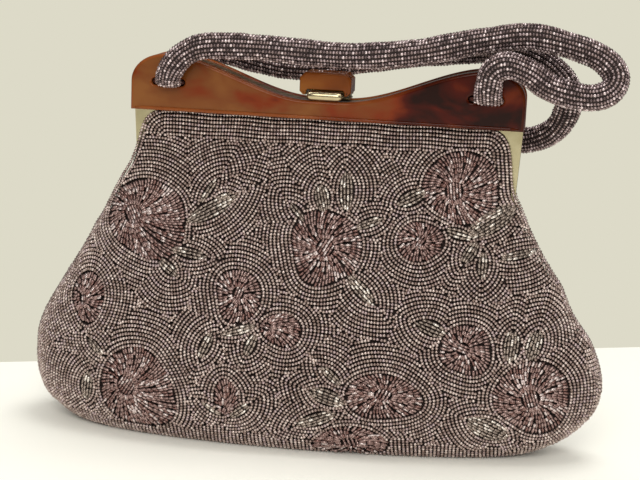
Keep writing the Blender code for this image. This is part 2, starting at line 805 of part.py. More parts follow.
def clasp_base():
    """The plate on the rear half of the frame, with two lugs that hold the clasp's pin."""
    low = DIP_Z + BASE_RISE
    top = low + BASE_THICKNESS
    back = CLASP_PIN_Y + LUG_RADIUS
    made = box("clasp_base", (-BASE_HALF, BASE_FRONT_Y, low), (BASE_HALF, back, top))
    outline = [(CLASP_PIN_Y - LUG_RADIUS, low), (back, low)]
    for step in range(9):
        angle = math.pi * step / 8
        across = CLASP_PIN_Y + LUG_RADIUS * math.cos(angle)
        outline.append((across, CLASP_PIN_Z + LUG_RADIUS * math.sin(angle)))
    lug = cut_out("clasp_lug", outline, LUG_INNER_X, LUG_INNER_X + LUG_THICKNESS, "YZ")
    boolean(made, mirrored(lug), "UNION")
    boolean(made, clasp_bore("clasp_base_bore"), "DIFFERENCE")
    return finish(bake(made, "clasp_base"), *METAL)


def clasp_bore(name):
    bore = CLASP_PIN_RADIUS + PIN_FIT
    at = (0, CLASP_PIN_Y, CLASP_PIN_Z)
    return rod(name, bore, "X", -BLOCK_HALF, BLOCK_HALF, at)


def clasp_pin():
    outer = LUG_INNER_X + LUG_THICKNESS + GAP
    profile = [
        (0, outer + CLASP_HEAD),
        (CLASP_HEAD_RADIUS, outer + CLASP_HEAD),
        (CLASP_HEAD_RADIUS, outer),
        (CLASP_PIN_RADIUS, outer),
        (CLASP_PIN_RADIUS, -outer),
        (CLASP_HEAD_RADIUS, -outer),
        (CLASP_HEAD_RADIUS, -outer - CLASP_HEAD),
        (0, -outer - CLASP_HEAD),
    ]
    at = (0, CLASP_PIN_Y, CLASP_PIN_Z)
    return finish(turned("clasp_pin", profile, (0, math.pi / 2, 0), at), *METAL)


def lip_bar(name, grow):
    """The convex bar at the clasp's front foot, or its recess when grown."""
    front = BLOCK_FRONT_Y - LIP_BAR_REACH
    bottom = DIP_Z + LIP_BAR_RISE
    top = bottom + LIP_BAR_HEIGHT
    low = (-LIP_BAR_HALF - grow, front - grow, bottom - grow)
    high = (LIP_BAR_HALF + grow, front + LIP_BAR_DEPTH + grow, top + grow)
    return box(name, low, high, LIP_BAR_ROUND)


def clasp_lever():
    """The sprung strip that turns on the pin, hooks over the catch and ends in the convex bar."""
    made = rod(
        "clasp_lever",
        BARREL_RADIUS,
        "X",
        -BARREL_HALF,
        BARREL_HALF,
        (0, CLASP_PIN_Y, CLASP_PIN_Z),
    )
    strip = box(
        "clasp_strip",
        (-STRIP_HALF, BLOCK_FRONT_Y - LIP_BAR_REACH + STRIP_REACH, STRIP_BOTTOM_Z),
        (STRIP_HALF, CLASP_PIN_Y, STRIP_TOP_Z),
    )
    half_catch = CATCH_THICKNESS / 2 + CATCH_ROOM
    window = box(
        "clasp_window",
        (-CATCH_HALF - CATCH_ROOM, CATCH_Y - half_catch, STRIP_BOTTOM_Z - OVERRUN),
        (CATCH_HALF + CATCH_ROOM, CATCH_Y + half_catch, STRIP_TOP_Z + OVERRUN),
    )
    boolean(made, strip, "UNION")
    boolean(made, lip_bar("clasp_lip_bar", 0), "UNION")
    boolean(made, window, "DIFFERENCE")
    boolean(made, clasp_bore("clasp_lever_bore"), "DIFFERENCE")
    return finish(bake(made, "clasp_lever"), *GOLD)


def clasp_block():
    """The plastic block on the strip, with a recess for the bar at its front foot."""
    back = BLOCK_FRONT_Y + BLOCK_DEPTH
    made = box(
        "clasp_block",
        (-BLOCK_HALF, BLOCK_FRONT_Y, BLOCK_BOTTOM_Z),
        (BLOCK_HALF, back, BLOCK_BOTTOM_Z + BLOCK_HEIGHT),
        BLOCK_ROUND,
    )
    boolean(made, lip_bar("clasp_recess", GAP), "DIFFERENCE")
    return finish(bake(made, "clasp_block"), *TORTOISE)


def clasp_catch():
    """The catch on the front half: a foot on the tray's rim and a post for the lever's window."""
    rim_top = DIP_Z - TRAY_INSET + GAP
    foot_back = -TRAY_BACK - GAP
    front = CATCH_Y - CATCH_THICKNESS / 2
    foot_half = CATCH_HALF + CATCH_FOOT_SPREAD
    made = box(
        "clasp_catch",
        (-foot_half, front, rim_top),
        (foot_half, foot_back, rim_top + CATCH_FOOT),
    )
    post = box(
        "clasp_catch_post",
        (-CATCH_HALF, front, rim_top + CATCH_FOOT / 2),
        (CATCH_HALF, front + CATCH_THICKNESS, STRIP_TOP_Z),
    )
    boolean(made, post, "UNION")
    return finish(bake(made, "clasp_catch"), *METAL)


def make_frame():
    """Trays, panels, rivets and handle ends. The rear ones are the front ones turned round."""
    plain = tray("tray")
    front = hinge_ears(duplicate(plain, "front_frame"), front_ear_x())
    rear = hinge_ears(duplicate(plain, "rear_frame"), rear_ear_x())
    bpy.data.objects.remove(plain)
    face = panel("front_panel")
    back = duplicate(face, "rear_panel")
    made = {"front_frame": finish(front, *METAL), "rear_frame": finish(half_turn(rear), *METAL)}
    made["front_panel"] = finish(face, *TORTOISE)
    made["rear_panel"] = finish(half_turn(back), *TORTOISE)
    for word, side in (("left", -1), ("right", 1)):
        for half in ("front", "rear"):
            # turning a rear piece round the vertical axis swaps its sides
            at = side if half == "front" else -side
            rivet = panel_rivet(f"{half}_panel_rivet_{word}", at * PANEL_RIVET_X)
            end = handle_end(f"{half}_handle_end_{word}", at * SLOT_X)
            if half == "rear":
                half_turn(rivet)
                half_turn(end)
            made[rivet.name] = finish(rivet, *METAL)
            made[end.name] = finish(end, *BEADS)
        finish(hinge_rivet(f"hinge_rivet_{word}", side), *METAL)
    return made


def axis_empty(name, at, riders):
    """An empty on a joint's axis, with the pieces that turn about it as its children."""
    empty = bpy.data.objects.new(name, None)
    empty.location = at
    PARTS.objects.link(empty)
    bpy.context.view_layer.update()
    for rider in riders:
        rider.parent = empty
        rider.matrix_parent_inverse = empty.matrix_world.inverted()


def main():
    frame = make_frame()
    cloths = make_cloths()
    front_handle = finish(rope("front_handle", FRONT_ROUTE_SHARES, -1), *BEADS)
    finish(rope("rear_handle", REAR_ROUTE_SHARES, 1), *BEADS)
    clasp_base()
    clasp_pin()
    lifted = [clasp_lever(), clasp_block()]
    axis_empty("clasp_axis", (0, CLASP_PIN_Y, CLASP_PIN_Z), lifted)
    swung = [piece for name, piece in frame.items() if name.startswith("front")]
    swung += [cloths["front_cloth_top"], cloths["front_lining_top"], front_handle, clasp_catch()]
    axis_empty("frame_axis", (0, 0, HINGE_Z), swung)


main()
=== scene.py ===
# %% [markdown]
# # A beaded evening handbag
# The bag is a soft pouch of beaded cloth. It hangs from a hinged frame of pressed metal that is
# faced with two tortoise-plastic panels. Two rope handles covered with beads go into slots in the
# panels, and a lift clasp closes the frame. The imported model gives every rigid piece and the
# joints. This lesson adds the soft goods, which are the beads, the cloth and the ropes.

import math
from collections import namedtuple

import bpy
import numpy as np
from mathutils import Matrix, Vector
from mathutils.geometry import tessellate_polygon


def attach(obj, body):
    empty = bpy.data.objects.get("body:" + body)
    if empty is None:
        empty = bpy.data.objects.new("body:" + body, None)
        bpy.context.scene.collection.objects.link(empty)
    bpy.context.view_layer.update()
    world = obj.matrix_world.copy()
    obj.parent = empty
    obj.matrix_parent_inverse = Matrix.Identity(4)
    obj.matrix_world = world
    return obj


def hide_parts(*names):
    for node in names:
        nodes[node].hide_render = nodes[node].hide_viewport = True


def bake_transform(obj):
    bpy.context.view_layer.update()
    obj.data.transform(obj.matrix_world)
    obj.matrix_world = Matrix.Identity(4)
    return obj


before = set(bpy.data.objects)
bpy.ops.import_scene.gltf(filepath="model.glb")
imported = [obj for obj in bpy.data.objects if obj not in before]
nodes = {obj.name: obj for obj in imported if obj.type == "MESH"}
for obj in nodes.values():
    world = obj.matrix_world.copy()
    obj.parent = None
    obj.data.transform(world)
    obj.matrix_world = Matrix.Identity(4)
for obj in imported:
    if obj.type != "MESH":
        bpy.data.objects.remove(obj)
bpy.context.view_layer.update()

# %% [markdown]
# ## Camera
# The photographer stood slightly to the right of the bag and a little above it, and held the
# camera a touch off level. A long lens from arm's length keeps the frame's two ends nearly equal.

# %% Camera
MM = 0.001
AZIMUTH, ELEVATION, ROLL = np.radians([9.0, 11.0, 2.3])
DISTANCE_MM = 650.0
LENS_MM = 84.0
AIM_MM = (0.0, 0.0, 100.0)
SHIFT = (-0.0047, -0.0414)
CLIP_START_M = 0.01


def add_object(name, data):
    """A new object in the scene."""
    made = bpy.data.objects.new(name, data)
    bpy.context.scene.collection.objects.link(made)
    return made


flat = math.cos(ELEVATION)
toward = np.array([math.sin(AZIMUTH) * flat, -math.cos(AZIMUTH) * flat, math.sin(ELEVATION)])
level = np.array([math.cos(AZIMUTH), math.sin(AZIMUTH), 0.0])
upright = np.cross(toward, level)
right = math.cos(ROLL) * level + math.sin(ROLL) * upright
up = math.cos(ROLL) * upright - math.sin(ROLL) * level
camera_data = bpy.data.cameras.new("camera")
camera_data.lens = LENS_MM
camera_data.shift_x, camera_data.shift_y = SHIFT
camera_data.clip_start = CLIP_START_M
camera = add_object("camera", camera_data)
place = Matrix(np.column_stack([right, up, toward]).tolist()).to_4x4()
place.translation = Vector((np.array(AIM_MM) + DISTANCE_MM * toward) * MM)
camera.matrix_world = place
bpy.context.scene.camera = camera
bpy.context.scene.view_settings.view_transform = "Standard"
print("camera at", [round(v, 3) for v in camera.location])

# %% [markdown]
# ## Colours and materials
# Every colour is written as it would be picked on a screen and turned to linear light in one
# place. The beads are lustred glass: a thin metallic coat over grey, mauve or silver glass. They
# stay plain colours, a different one from bead to bead, as in a mixed hank of real beads.


# %% Material helpers
def linear(code):
    """sRGB hex to linear: (c + 0.055) / 1.055 to the power 2.4, or c / 12.92 for dark values."""
    parts = [int(code[i : i + 2], 16) / 255 for i in (1, 3, 5)]
    return (*[c / 12.92 if c <= 0.04045 else ((c + 0.055) / 1.055) ** 2.4 for c in parts], 1)


def material(name, colour, roughness, metallic=0.0, **sockets):
    """A Principled material; other sockets are named with underscores for spaces."""
    made = bpy.data.materials.new(name)
    made.use_nodes = True
    shader = made.node_tree.nodes["Principled BSDF"]
    shader.inputs["Base Color"].default_value = linear(colour)
    shader.inputs["Roughness"].default_value = roughness
    shader.inputs["Metallic"].default_value = metallic
    for key, value in sockets.items():
        shader.inputs[key.replace("_", " ")].default_value = value
    return made


def add_node(tree, kind, links=(), **values):
    """Adds a node, sets its properties and sockets, and links sockets to other outputs."""
    node = tree.nodes.new(kind)
    for key, value in values.items():
        if hasattr(node, key):
            setattr(node, key, value)
        else:
            node.inputs[key.replace("_", " ")].default_value = value
    for socket, output in links:
        tree.links.new(output, node.inputs[socket])
    return node


def ramp(tree, output, stops):
    """A colour ramp on an output; stops are (place, colour)."""
    node = add_node(tree, "ShaderNodeValToRGB", [("Fac", output)])
    band = node.color_ramp
    while len(band.elements) < len(stops):
        band.elements.new(0.5)
    for element, (place_on, colour) in zip(band.elements, stops):
        element.position = place_on
        element.color = linear(colour)
    return node.outputs["Color"]


NOISE_DETAIL = 3.0


def mottled(name, stops, size_mm, roughness, metallic=0.0, bump_mm=0.0, **sockets):
    """A material whose colour follows a noise with blobs of about size_mm."""
    made = material(name, stops[0][1], roughness, metallic, **sockets)
    tree = made.node_tree
    shader = tree.nodes["Principled BSDF"]
    where = add_node(tree, "ShaderNodeTexCoord").outputs["Object"]
    noise = add_node(
        tree, "ShaderNodeTexNoise", [("Vector", where)],
        Scale=1 / (size_mm * MM), Detail=NOISE_DETAIL,
    )
    tree.links.new(ramp(tree, noise.outputs["Fac"], stops), shader.inputs["Base Color"])
    if bump_mm:
        bump = add_node(
            tree, "ShaderNodeBump", [("Height", noise.outputs["Fac"])], Distance=bump_mm * MM
        )
        tree.links.new(bump.outputs["Normal"], shader.inputs["Normal"])
    return made


# Each hank of beads: its tints, and below them how much of the hank has each tint.
GROUND_TINTS = ["#B3A098", "#C6B3AD", "#A18C87", "#DBCAC3", "#937F77", "#BBA7A7"]
GROUND_MIX = [0.26, 0.2, 0.2, 0.12, 0.12, 0.1]
FLOWER_TINTS = ["#A88E89", "#917671", "#DACAC7", "#82625C"]
FLOWER_MIX, KNOT_MIX = [0.4, 0.3, 0.16, 0.14], [0.4, 0.24, 0.26, 0.1]
LEAF_TINTS = ["#A8998F", "#92847B", "#EEE4DB"]
LEAF_MIX = [0.46, 0.36, 0.18]
ROPE_TINTS = ["#8F7C7A", "#AE9B9C", "#655656", "#E4D2D2"]
ROPE_MIX = [0.36, 0.28, 0.24, 0.12]
GLASS_ROUGHNESS, GLASS_METALLIC = 0.18, 0.65
dice = np.random.default_rng(19)  # every random draw comes from here, so each run is the same


def glass(kind, tints):
    """One lustred glass per tint: rolled glass tube, coated, so half metallic and smooth."""
    return [
        material(f"{kind} lustre glass {number}", tint, GLASS_ROUGHNESS, GLASS_METALLIC)
        for number, tint in enumerate(tints, 1)
    ]


def draw_tint(mix, count=None):
    """Tint numbers drawn from a hank by its mix: one, or count of them."""
    return dice.choice(len(mix), count, p=mix)


ground_glass = glass("ground", GROUND_TINTS)
flower_glass = glass("flower", FLOWER_TINTS)
leaf_glass = glass("leaf", LEAF_TINTS)
rope_glass = glass("rope", ROPE_TINTS)
print("glass tints:", len(bpy.data.materials))

# %% [markdown]
# ## Meshes from arrays
# Every soft piece is built from arrays of numbers. A bead is a six-sided barrel whose two ends
# are closed. A bugle is the same barrel, longer and straighter.


# %% Mesh helpers
def build(name, corners_mm, face_groups, looks):
    """A mesh object; a face group is (rows of corner numbers, material number or numbers)."""
    mesh = bpy.data.meshes.new(name)
    loops = np.concatenate([faces.ravel() for faces, _ in face_groups])
    counts = np.concatenate([np.full(len(faces), faces.shape[1]) for faces, _ in face_groups])
    chosen = np.concatenate([np.broadcast_to(slot, len(faces)) for faces, slot in face_groups])
    mesh.vertices.add(len(corners_mm))
    mesh.vertices.foreach_set("co", (corners_mm * MM).astype(np.float32).ravel())
    mesh.loops.add(len(loops))
    mesh.loops.foreach_set("vertex_index", loops.astype(np.int32))
    mesh.polygons.add(len(counts))
    mesh.polygons.foreach_set("loop_start", (np.cumsum(counts) - counts).astype(np.int32))
    mesh.polygons.foreach_set("material_index", chosen.astype(np.int32))
    for one in looks:
        mesh.materials.append(one)
    mesh.update(calc_edges=True)
    mesh.shade_smooth()
    return add_object(name, mesh)


def unit(v):
    """Each row over its own length."""
    return v / np.maximum(np.linalg.norm(v, axis=-1, keepdims=True), 1e-9)


def circle(angle):
    """Cosine and sine of each angle, side by side."""
    return np.stack([np.cos(angle), np.sin(angle)], 1)


def ring_faces(rings, around):
    """Walls between closed rings of corners, one ring after the other, and the two end caps."""
    number = np.arange(rings * around).reshape(rings, around)
    ahead = np.roll(number, -1, axis=1)
    walls = np.stack([number[:-1], ahead[:-1], ahead[1:], number[1:]], 2).reshape(-1, 4)
    return walls, np.stack([number[0][::-1], number[-1]])


BARREL_SIDES = 6
BARREL_STATIONS = np.array([-0.5, 0.0, 0.5])
BARREL_FACES = BARREL_SIDES * (len(BARREL_STATIONS) - 1) + 2
BEAD_WAIST = np.array([0.64, 1.0, 0.64])
BUGLE_WAIST = np.array([0.86, 1.0, 0.86])


def barrels(centres, along, outward, lengths, radii, waist):
    """Corner = centre + along * station * length + radius * waist * (outward cos a + side sin a),
    for the six angles a at each of three stations along the bead."""
    along = unit(along)
    side = unit(np.cross(along, outward))
    outward = np.cross(side, along)
    turn = np.arange(BARREL_SIDES) * 2 * np.pi / BARREL_SIDES
    ring = outward[:, None] * np.cos(turn)[:, None] + side[:, None] * np.sin(turn)[:, None]
    step = along[:, None] * (BARREL_STATIONS[:, None] * np.ones(3)) * lengths[:, None, None]
    swell = (radii[:, None] * waist)[:, :, None, None] * ring[:, None]
    corners = (centres[:, None, None] + step[:, :, None] + swell).reshape(-1, 3)
    stations = len(BARREL_STATIONS)
    walls, caps = ring_faces(stations, BARREL_SIDES)
    first = np.arange(len(centres))[:, None, None] * stations * BARREL_SIDES
    return corners, (first + walls).reshape(-1, 4), (first + caps).reshape(-1, BARREL_SIDES)


def bead_piece(name, strands, looks):
    """Joins (barrels, tint number of each barrel) into one object."""
    corners, groups, start = [], [], 0
    for (points, walls, caps), tint in strands:
        corners.append(points)
        per_bead = len(walls) // len(tint)
        groups.append((walls + start, np.repeat(tint, per_bead)))
        groups.append((caps + start, np.repeat(tint, 2)))
        start += len(points)
    return build(name, np.concatenate(corners), groups, looks)


# %% Lines, sheets and tubes
def smooth_line(points, steps):
    """Catmull-Rom curve through the points, with that many steps between two of them."""
    knots = np.asarray(points, float)
    ends = np.vstack([2 * knots[0] - knots[1], knots, 2 * knots[-1] - knots[-2]])
    share = (np.arange(steps) / steps)[None, :, None]
    a, b, c, d = (ends[i : len(ends) - 3 + i][:, None, :] for i in range(4))
    curve = 2 * b + (c - a) * share + (2 * a - 5 * b + 4 * c - d) * share**2
    curve = 0.5 * (curve + (3 * b - a - 3 * c + d) * share**3)
    return np.vstack([curve.reshape(-1, knots.shape[1]), knots[-1]])


def travelled(line):
    """Length from the start of a line to each of its points."""
    steps = np.linalg.norm(np.diff(line, axis=0), axis=1)
    return np.concatenate([[0.0], np.cumsum(steps)])


def read_off(at, length, line):
    """Each column of a line, read off at some lengths between its points."""
    return np.stack([np.interp(at, length, column) for column in line.T], 1)


def spaced(line, spacing):
    """Points along a line that are that far apart, as near as a whole number allows."""
    length = travelled(line)
    count = max(int(round(length[-1] / spacing)), 1)
    return read_off((np.arange(count) + 0.5) * length[-1] / count, length, line)


def smooth_step(share):
    """3 s squared - 2 s cubed between 0 and 1."""
    share = np.clip(share, 0, 1)
    return share * share * (3 - 2 * share)


def closed_shell(outer, inner):
    """Faces of a closed sheet between two grids of the same shape, outward on the first grid."""
    rows, columns = outer.shape[:2]
    number = np.arange(rows * columns).reshape(rows, columns)
    back = number + rows * columns

    def quads(a, b, c, d):
        return np.stack([a.ravel(), b.ravel(), c.ravel(), d.ravel()], 1)

    faces = [
        quads(number[:-1, :-1], number[1:, :-1], number[1:, 1:], number[:-1, 1:]),
        quads(back[:-1, :-1], back[:-1, 1:], back[1:, 1:], back[1:, :-1]),
        quads(number[0, :-1], number[0, 1:], back[0, 1:], back[0, :-1]),
        quads(number[-1, 1:], number[-1, :-1], back[-1, :-1], back[-1, 1:]),
        quads(number[1:, 0], number[:-1, 0], back[:-1, 0], back[1:, 0]),
        quads(number[:-1, -1], number[1:, -1], back[1:, -1], back[:-1, -1]),
    ]
    corners = np.concatenate([outer.reshape(-1, 3), inner.reshape(-1, 3)])
    return corners, np.concatenate(faces)


def tube(grid):
    """Corners, walls and caps of a closed tube through rings of points, facing outwards."""
    walls, caps = ring_faces(*grid.shape[:2])
    corners = grid.reshape(-1, 3)
    a, b, c, d = (corners[walls[:, k]] - corners.mean(0) for k in range(4))
    if (np.cross(c - a, d - b) * (a + b + c + d)).sum() < 0:
        walls, caps = walls[:, ::-1], caps[:, ::-1]
    return corners, walls, caps


def tube_piece(name, grid, look):
    """The closed tube through rings of points, as an object."""
    corners, walls, caps = tube(grid)
    return build(name, corners, [(walls, 0), (caps, 0)], [look])


# %% [markdown]
# ## The two rope handles
# Each handle is a soft core covered with seventeen lengthwise rows of seed beads. At both ends the
# cover is pressed flat and sewn to a stiff tongue, which goes through a slot in the panel. The
# front handle lies over to the right and loops back to its slot. The rear one falls behind.

# %% Routes of the ropes, in millimetres
FRONT_ROUTE = [
    (-67.0, -8.4, 154.5), (-67.0, -11.7, 154.5), (-67.0, -13.4, 154.5), (-66.5, -15.2, 157.2),
    (-64.0, -16.2, 162.5), (-58.6, -16.2, 168.0), (-50.0, -14.7, 171.2), (-28.5, -12.7, 171.5),
    (10.0, -12.7, 170.0), (39.2, -12.0, 173.1), (63.6, -10.0, 178.4), (83.9, -8.5, 181.5),
    (100.9, -8.0, 178.7), (114.2, -9.0, 174.0), (120.3, -11.0, 167.2), (117.9, -13.5, 161.0),
    (109.0, -15.0, 158.5), (94.3, -16.5, 161.7), (85.0, -18.0, 167.5), (76.5, -18.4, 170.2),
    (70.8, -17.8, 167.2), (69.2, -16.4, 161.0), (69.0, -15.0, 156.6), (69.0, -13.4, 154.5),
    (69.0, -11.7, 154.5), (69.0, -8.4, 154.5),
]
REAR_ROUTE = [
    (-68.0, 8.4, 154.5), (-68.0, 11.7, 154.5), (-68.0, 13.4, 154.5), (-67.8, 15.2, 157.2),
    (-66.2, 16.3, 162.2), (-62.2, 16.6, 166.5), (-55.0, 16.4, 167.8), (-44.6, 17.0, 165.5),
    (-25.1, 20.7, 161.2), (-7.5, 22.4, 161.2), (10.2, 22.4, 165.0), (36.8, 18.7, 169.7),
    (62.8, 15.0, 173.0), (78.0, 11.5, 173.5), (90.5, 8.0, 170.0), (99.0, 6.2, 163.5),
    (102.2, 7.0, 155.0), (100.2, 11.0, 146.0), (95.1, 16.0, 139.2), (86.0, 20.0, 135.0),
    (76.5, 21.5, 135.5), (70.0, 20.8, 140.5), (68.0, 18.5, 146.5), (68.0, 15.8, 151.5),
    (68.0, 13.4, 154.5), (68.0, 11.7, 154.5), (68.0, 8.4, 154.5),
]
ROPE_RADIUS = 5.75
ROPE_FLAT = (5.6, 6.6, 1.3)  # half widths in the two slots, and half thickness
ROPE_FLATTENS_OVER = 17.0
ROPE_LUMPS = ((0.022, 5.1, 0), (0.018, 2.3, 1))  # share of the radius, wave's length / 2 pi, start
ROUTE_STEPS = 10
OVAL_POINTS = 97
ROPE_ROWS = 17
ROPE_BEAD_LENGTH = 1.16
ROPE_BEAD_SPACING = 1.36
ROPE_BEAD_RADIUS = 0.75
ROPE_BEAD_LENGTHS = (0.9, 1.06)  # least and greatest, over ROPE_BEAD_LENGTH
BEAD_RADII = (0.93, 1.05)  # least and greatest, over a bead's radius
BEAD_STRAY = 0.05
CORE_INSET = 0.95
CORE_SIDES = 24


# %% Rope sections and rows
def rope_axes(line):
    """Directions across a line, carried along it without twist, then eased back to the slot."""
    heading = unit(np.gradient(line, axis=0))
    wide = [np.array([1.0, 0.0, 0.0])]
    for direction in heading[1:]:
        carried = wide[-1] - direction * (wide[-1] @ direction)
        wide.append(carried / np.linalg.norm(carried))
    wide = np.array(wide)
    thick = np.cross(heading, wide)
    turn = math.atan2(thick[-1][0], wide[-1][0])
    turn = (turn + math.pi / 2) % math.pi - math.pi / 2
    angle = (turn * travelled(line) / travelled(line)[-1])[:, None]
    turned = wide * np.cos(angle) + thick * np.sin(angle)
    return turned, np.cross(heading, turned)


def rope_sections(line, shrink):
    """Ellipse round each point: flat in the slots, round after them, with slow lumps."""
    length = travelled(line)
    from_end = np.minimum(length, length[-1] - length)
    rounded = smooth_step(from_end / ROPE_FLATTENS_OVER)
    lumps = 1
    for height, wave, start in ROPE_LUMPS:
        lumps = lumps + height * np.sin(length / wave + start)
    full = ROPE_RADIUS * (1 + (lumps - 1) * rounded)
    flat = np.where(length < length[-1] / 2, ROPE_FLAT[0], ROPE_FLAT[1])
    half_width = flat + (full - flat) * rounded - shrink
    half_thick = ROPE_FLAT[2] + (full - ROPE_FLAT[2]) * rounded
    return half_width, half_thick - np.minimum(shrink, ROPE_BEAD_RADIUS)


def rope_grid(line, shrink, shares):
    """Points round every section at equal steps of its own outline."""
    round_it = circle(np.linspace(0, 2 * np.pi, OVAL_POINTS))
    rows = []
    for a, b, w, t, centre in zip(*rope_sections(line, shrink), *rope_axes(line), line):
        oval = round_it * [a, b]
        reach = travelled(oval)
        x, y = read_off(shares * reach[-1], reach, oval).T
        rows.append(centre + x[:, None] * w + y[:, None] * t)
    return np.array(rows)


def rope_beads(name, line):
    """Lengthwise rows; each row is strung along its own line."""
    shares = (np.arange(ROPE_ROWS) + 0.5) / ROPE_ROWS
    grid = rope_grid(line, ROPE_BEAD_RADIUS, shares)
    strands = []
    for number in range(ROPE_ROWS):
        row = grid[:, number]
        outward = unit(row - line)
        at = spaced(np.hstack([row, outward]), ROPE_BEAD_SPACING)
        centres, outward = at[:, :3], unit(at[:, 3:])
        along = np.gradient(centres, axis=0)
        count = len(centres)
        lengths = ROPE_BEAD_LENGTH * dice.uniform(*ROPE_BEAD_LENGTHS, count)
        radii = ROPE_BEAD_RADIUS * dice.uniform(*BEAD_RADII, count)
        centres = centres + outward * dice.normal(0, BEAD_STRAY, (count, 1))
        solid = barrels(centres, along, outward, lengths, radii, BEAD_WAIST)
        strands.append((solid, draw_tint(ROPE_MIX, count)))
    return bead_piece(name, strands, rope_glass)


rope_cloth = mottled("dark woven rope cover", [(0.3, "#170D0B"), (0.7, "#2E1E1C")], 0.8, 0.85)
for side, route, body in (("front", FRONT_ROUTE, "front_half"), ("rear", REAR_ROUTE, "pouch")):
    line = smooth_line(route, ROUTE_STEPS)
    core = rope_grid(line, CORE_INSET, np.arange(CORE_SIDES) / CORE_SIDES)
    core = tube_piece(f"{side}_rope_core", core, rope_cloth)
    beads = rope_beads(f"{side}_rope_beads", line)
    for piece in (core, beads):
        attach(piece, body)
    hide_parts(f"{side}_handle")
    length = travelled(line)[-1] * MM
    print(side, "handle", round(length, 4), "m,", len(beads.data.polygons) // BARREL_FACES, "beads")

# %% [markdown]
# The tongue at each end of a handle is a strip of stiff felt, wrapped and sewn to the rope. A
# folded stop behind the panel keeps it from pulling out.

# %% The sewn tongues in the slots
SLOT_X_MM, SLOT_Z_MM = 68.0, 154.5
TONGUE_STATIONS = [  # distance from the meeting plane, half width, half height
    (8.9, 6.0, 0.5), (8.4, 6.9, 1.05), (5.0, 6.95, 1.1), (3.0, 7.0, 1.1), (2.8, 8.2, 2.0),
    (2.5, 8.55, 2.35), (1.6, 8.55, 2.35), (1.3, 8.1, 1.9),
]
TONGUE_SIDES, TONGUE_POWER = 32, 0.4


def tongue(name, x, way):
    """Rounded rectangles at each station, joined to a closed strip with a wider stop. A corner
    lies at the half sizes times the cosine and the sine of its angle to the power 0.4."""
    wave = circle(np.arange(TONGUE_SIDES) * 2 * np.pi / TONGUE_SIDES)
    across, rise = (np.sign(wave) * np.abs(wave) ** TONGUE_POWER).T
    rows = []
    for reach, half, tall in TONGUE_STATIONS:
        depth = np.full(TONGUE_SIDES, way * reach)
        rows.append(np.stack([x + half * across, depth, SLOT_Z_MM + tall * rise], 1))
    return tube_piece(name, np.array(rows), felt)


# The felt's dark red is painted shade: it stands in for the shaded plastic walls at the ends of
# each slot.
felt = mottled("stiff felt in painted dark red slot shade", [(0.25, "#33140F"), (0.75, "#54261C")], 0.6, 0.9, bump_mm=0.1)
for side, way, body in (("front", -1, "front_half"), ("rear", 1, "pouch")):
    for end, x in (("left", -SLOT_X_MM), ("right", SLOT_X_MM)):
        strip = tongue(f"{side}_{end}_tongue", x, way)
        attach(strip, body)
        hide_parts(f"{side}_handle_end_{end}")
        print(strip.name, "with", len(strip.data.polygons), "faces")

# %% [markdown]
# ## The pouch
# Two pieces of cloth are sewn together along the sides and the bottom and gathered to the frame.
# Full of air and lining it bellies out, and it sags to a flat bottom where it stands.

# %% The shape of the pouch
# Each row: height, half widths to the right and left, depth at the side edge, depth in the
# middle, and how full the section is, all but the last in millimetres.
POUCH_ROWS = [
    (141.9, 69.5, 69.5, 4.0, 4.6, 1.20), (141.2, 72.6, 73.6, 4.2, 4.8, 1.20),
    (139.6, 75.6, 77.2, 4.4, 5.2, 1.20), (137.2, 77.8, 79.4, 4.6, 5.6, 1.20),
    (134.0, 79.3, 80.8, 4.8, 6.2, 1.20), (128.5, 80.2, 82.0, 4.9, 7.6, 1.20),
    (122.2, 80.7, 83.8, 5.0, 9.6, 1.20), (117.0, 81.3, 85.8, 4.8, 11.3, 1.15),
    (112.0, 82.6, 88.6, 4.0, 13.0, 1.10), (106.0, 85.4, 91.8, 2.4, 15.0, 1.05),
    (100.0, 88.0, 94.8, 0.8, 17.0, 1.00), (94.0, 91.2, 97.8, 0.0, 19.0, 0.95),
    (88.0, 94.6, 101.4, 0.0, 20.6, 0.92), (82.0, 98.6, 104.2, 0.0, 22.6, 0.90),
    (74.8, 103.6, 108.2, 0.0, 25.0, 0.88), (63.4, 109.0, 115.0, 0.0, 27.8, 0.87),
    (51.9, 117.2, 121.6, 0.0, 30.1, 0.85), (41.4, 121.8, 126.0, 0.0, 31.6, 0.85),
    (32.6, 123.4, 127.0, 0.0, 32.0, 0.85), (24.6, 122.0, 127.0, 0.0, 31.8, 0.85),
    (18.0, 118.0, 125.6, 0.0, 31.2, 0.85), (12.0, 112.2, 122.8, 0.0, 29.8, 0.85),
    (7.0, 105.2, 117.2, 0.0, 28.0, 0.85), (3.0, 96.8, 111.6, 0.0, 25.4, 0.85),
    (0.8, 88.6, 105.6, 0.0, 22.6, 0.85), (0.0, 81.0, 98.4, 0.0, 19.0, 0.85),
    (0.0, 75.0, 87.0, 0.0, 9.0, 0.85), (0.0, 73.0, 82.0, 0.0, 0.4, 0.85),
]
ROUND_STEPS = 241
TABLE_COLUMNS = 161
SHARE = np.linspace(-1, 1, TABLE_COLUMNS)  # -1 at the left edge of the cloth, and 1 at the right
FULLER_LEFT = 0.2  # how much deeper than the row says the left end is; the right is less
FULLER_BELOW, FULLER_OVER = 110.0, 50.0  # the height where that begins, and over how much it grows

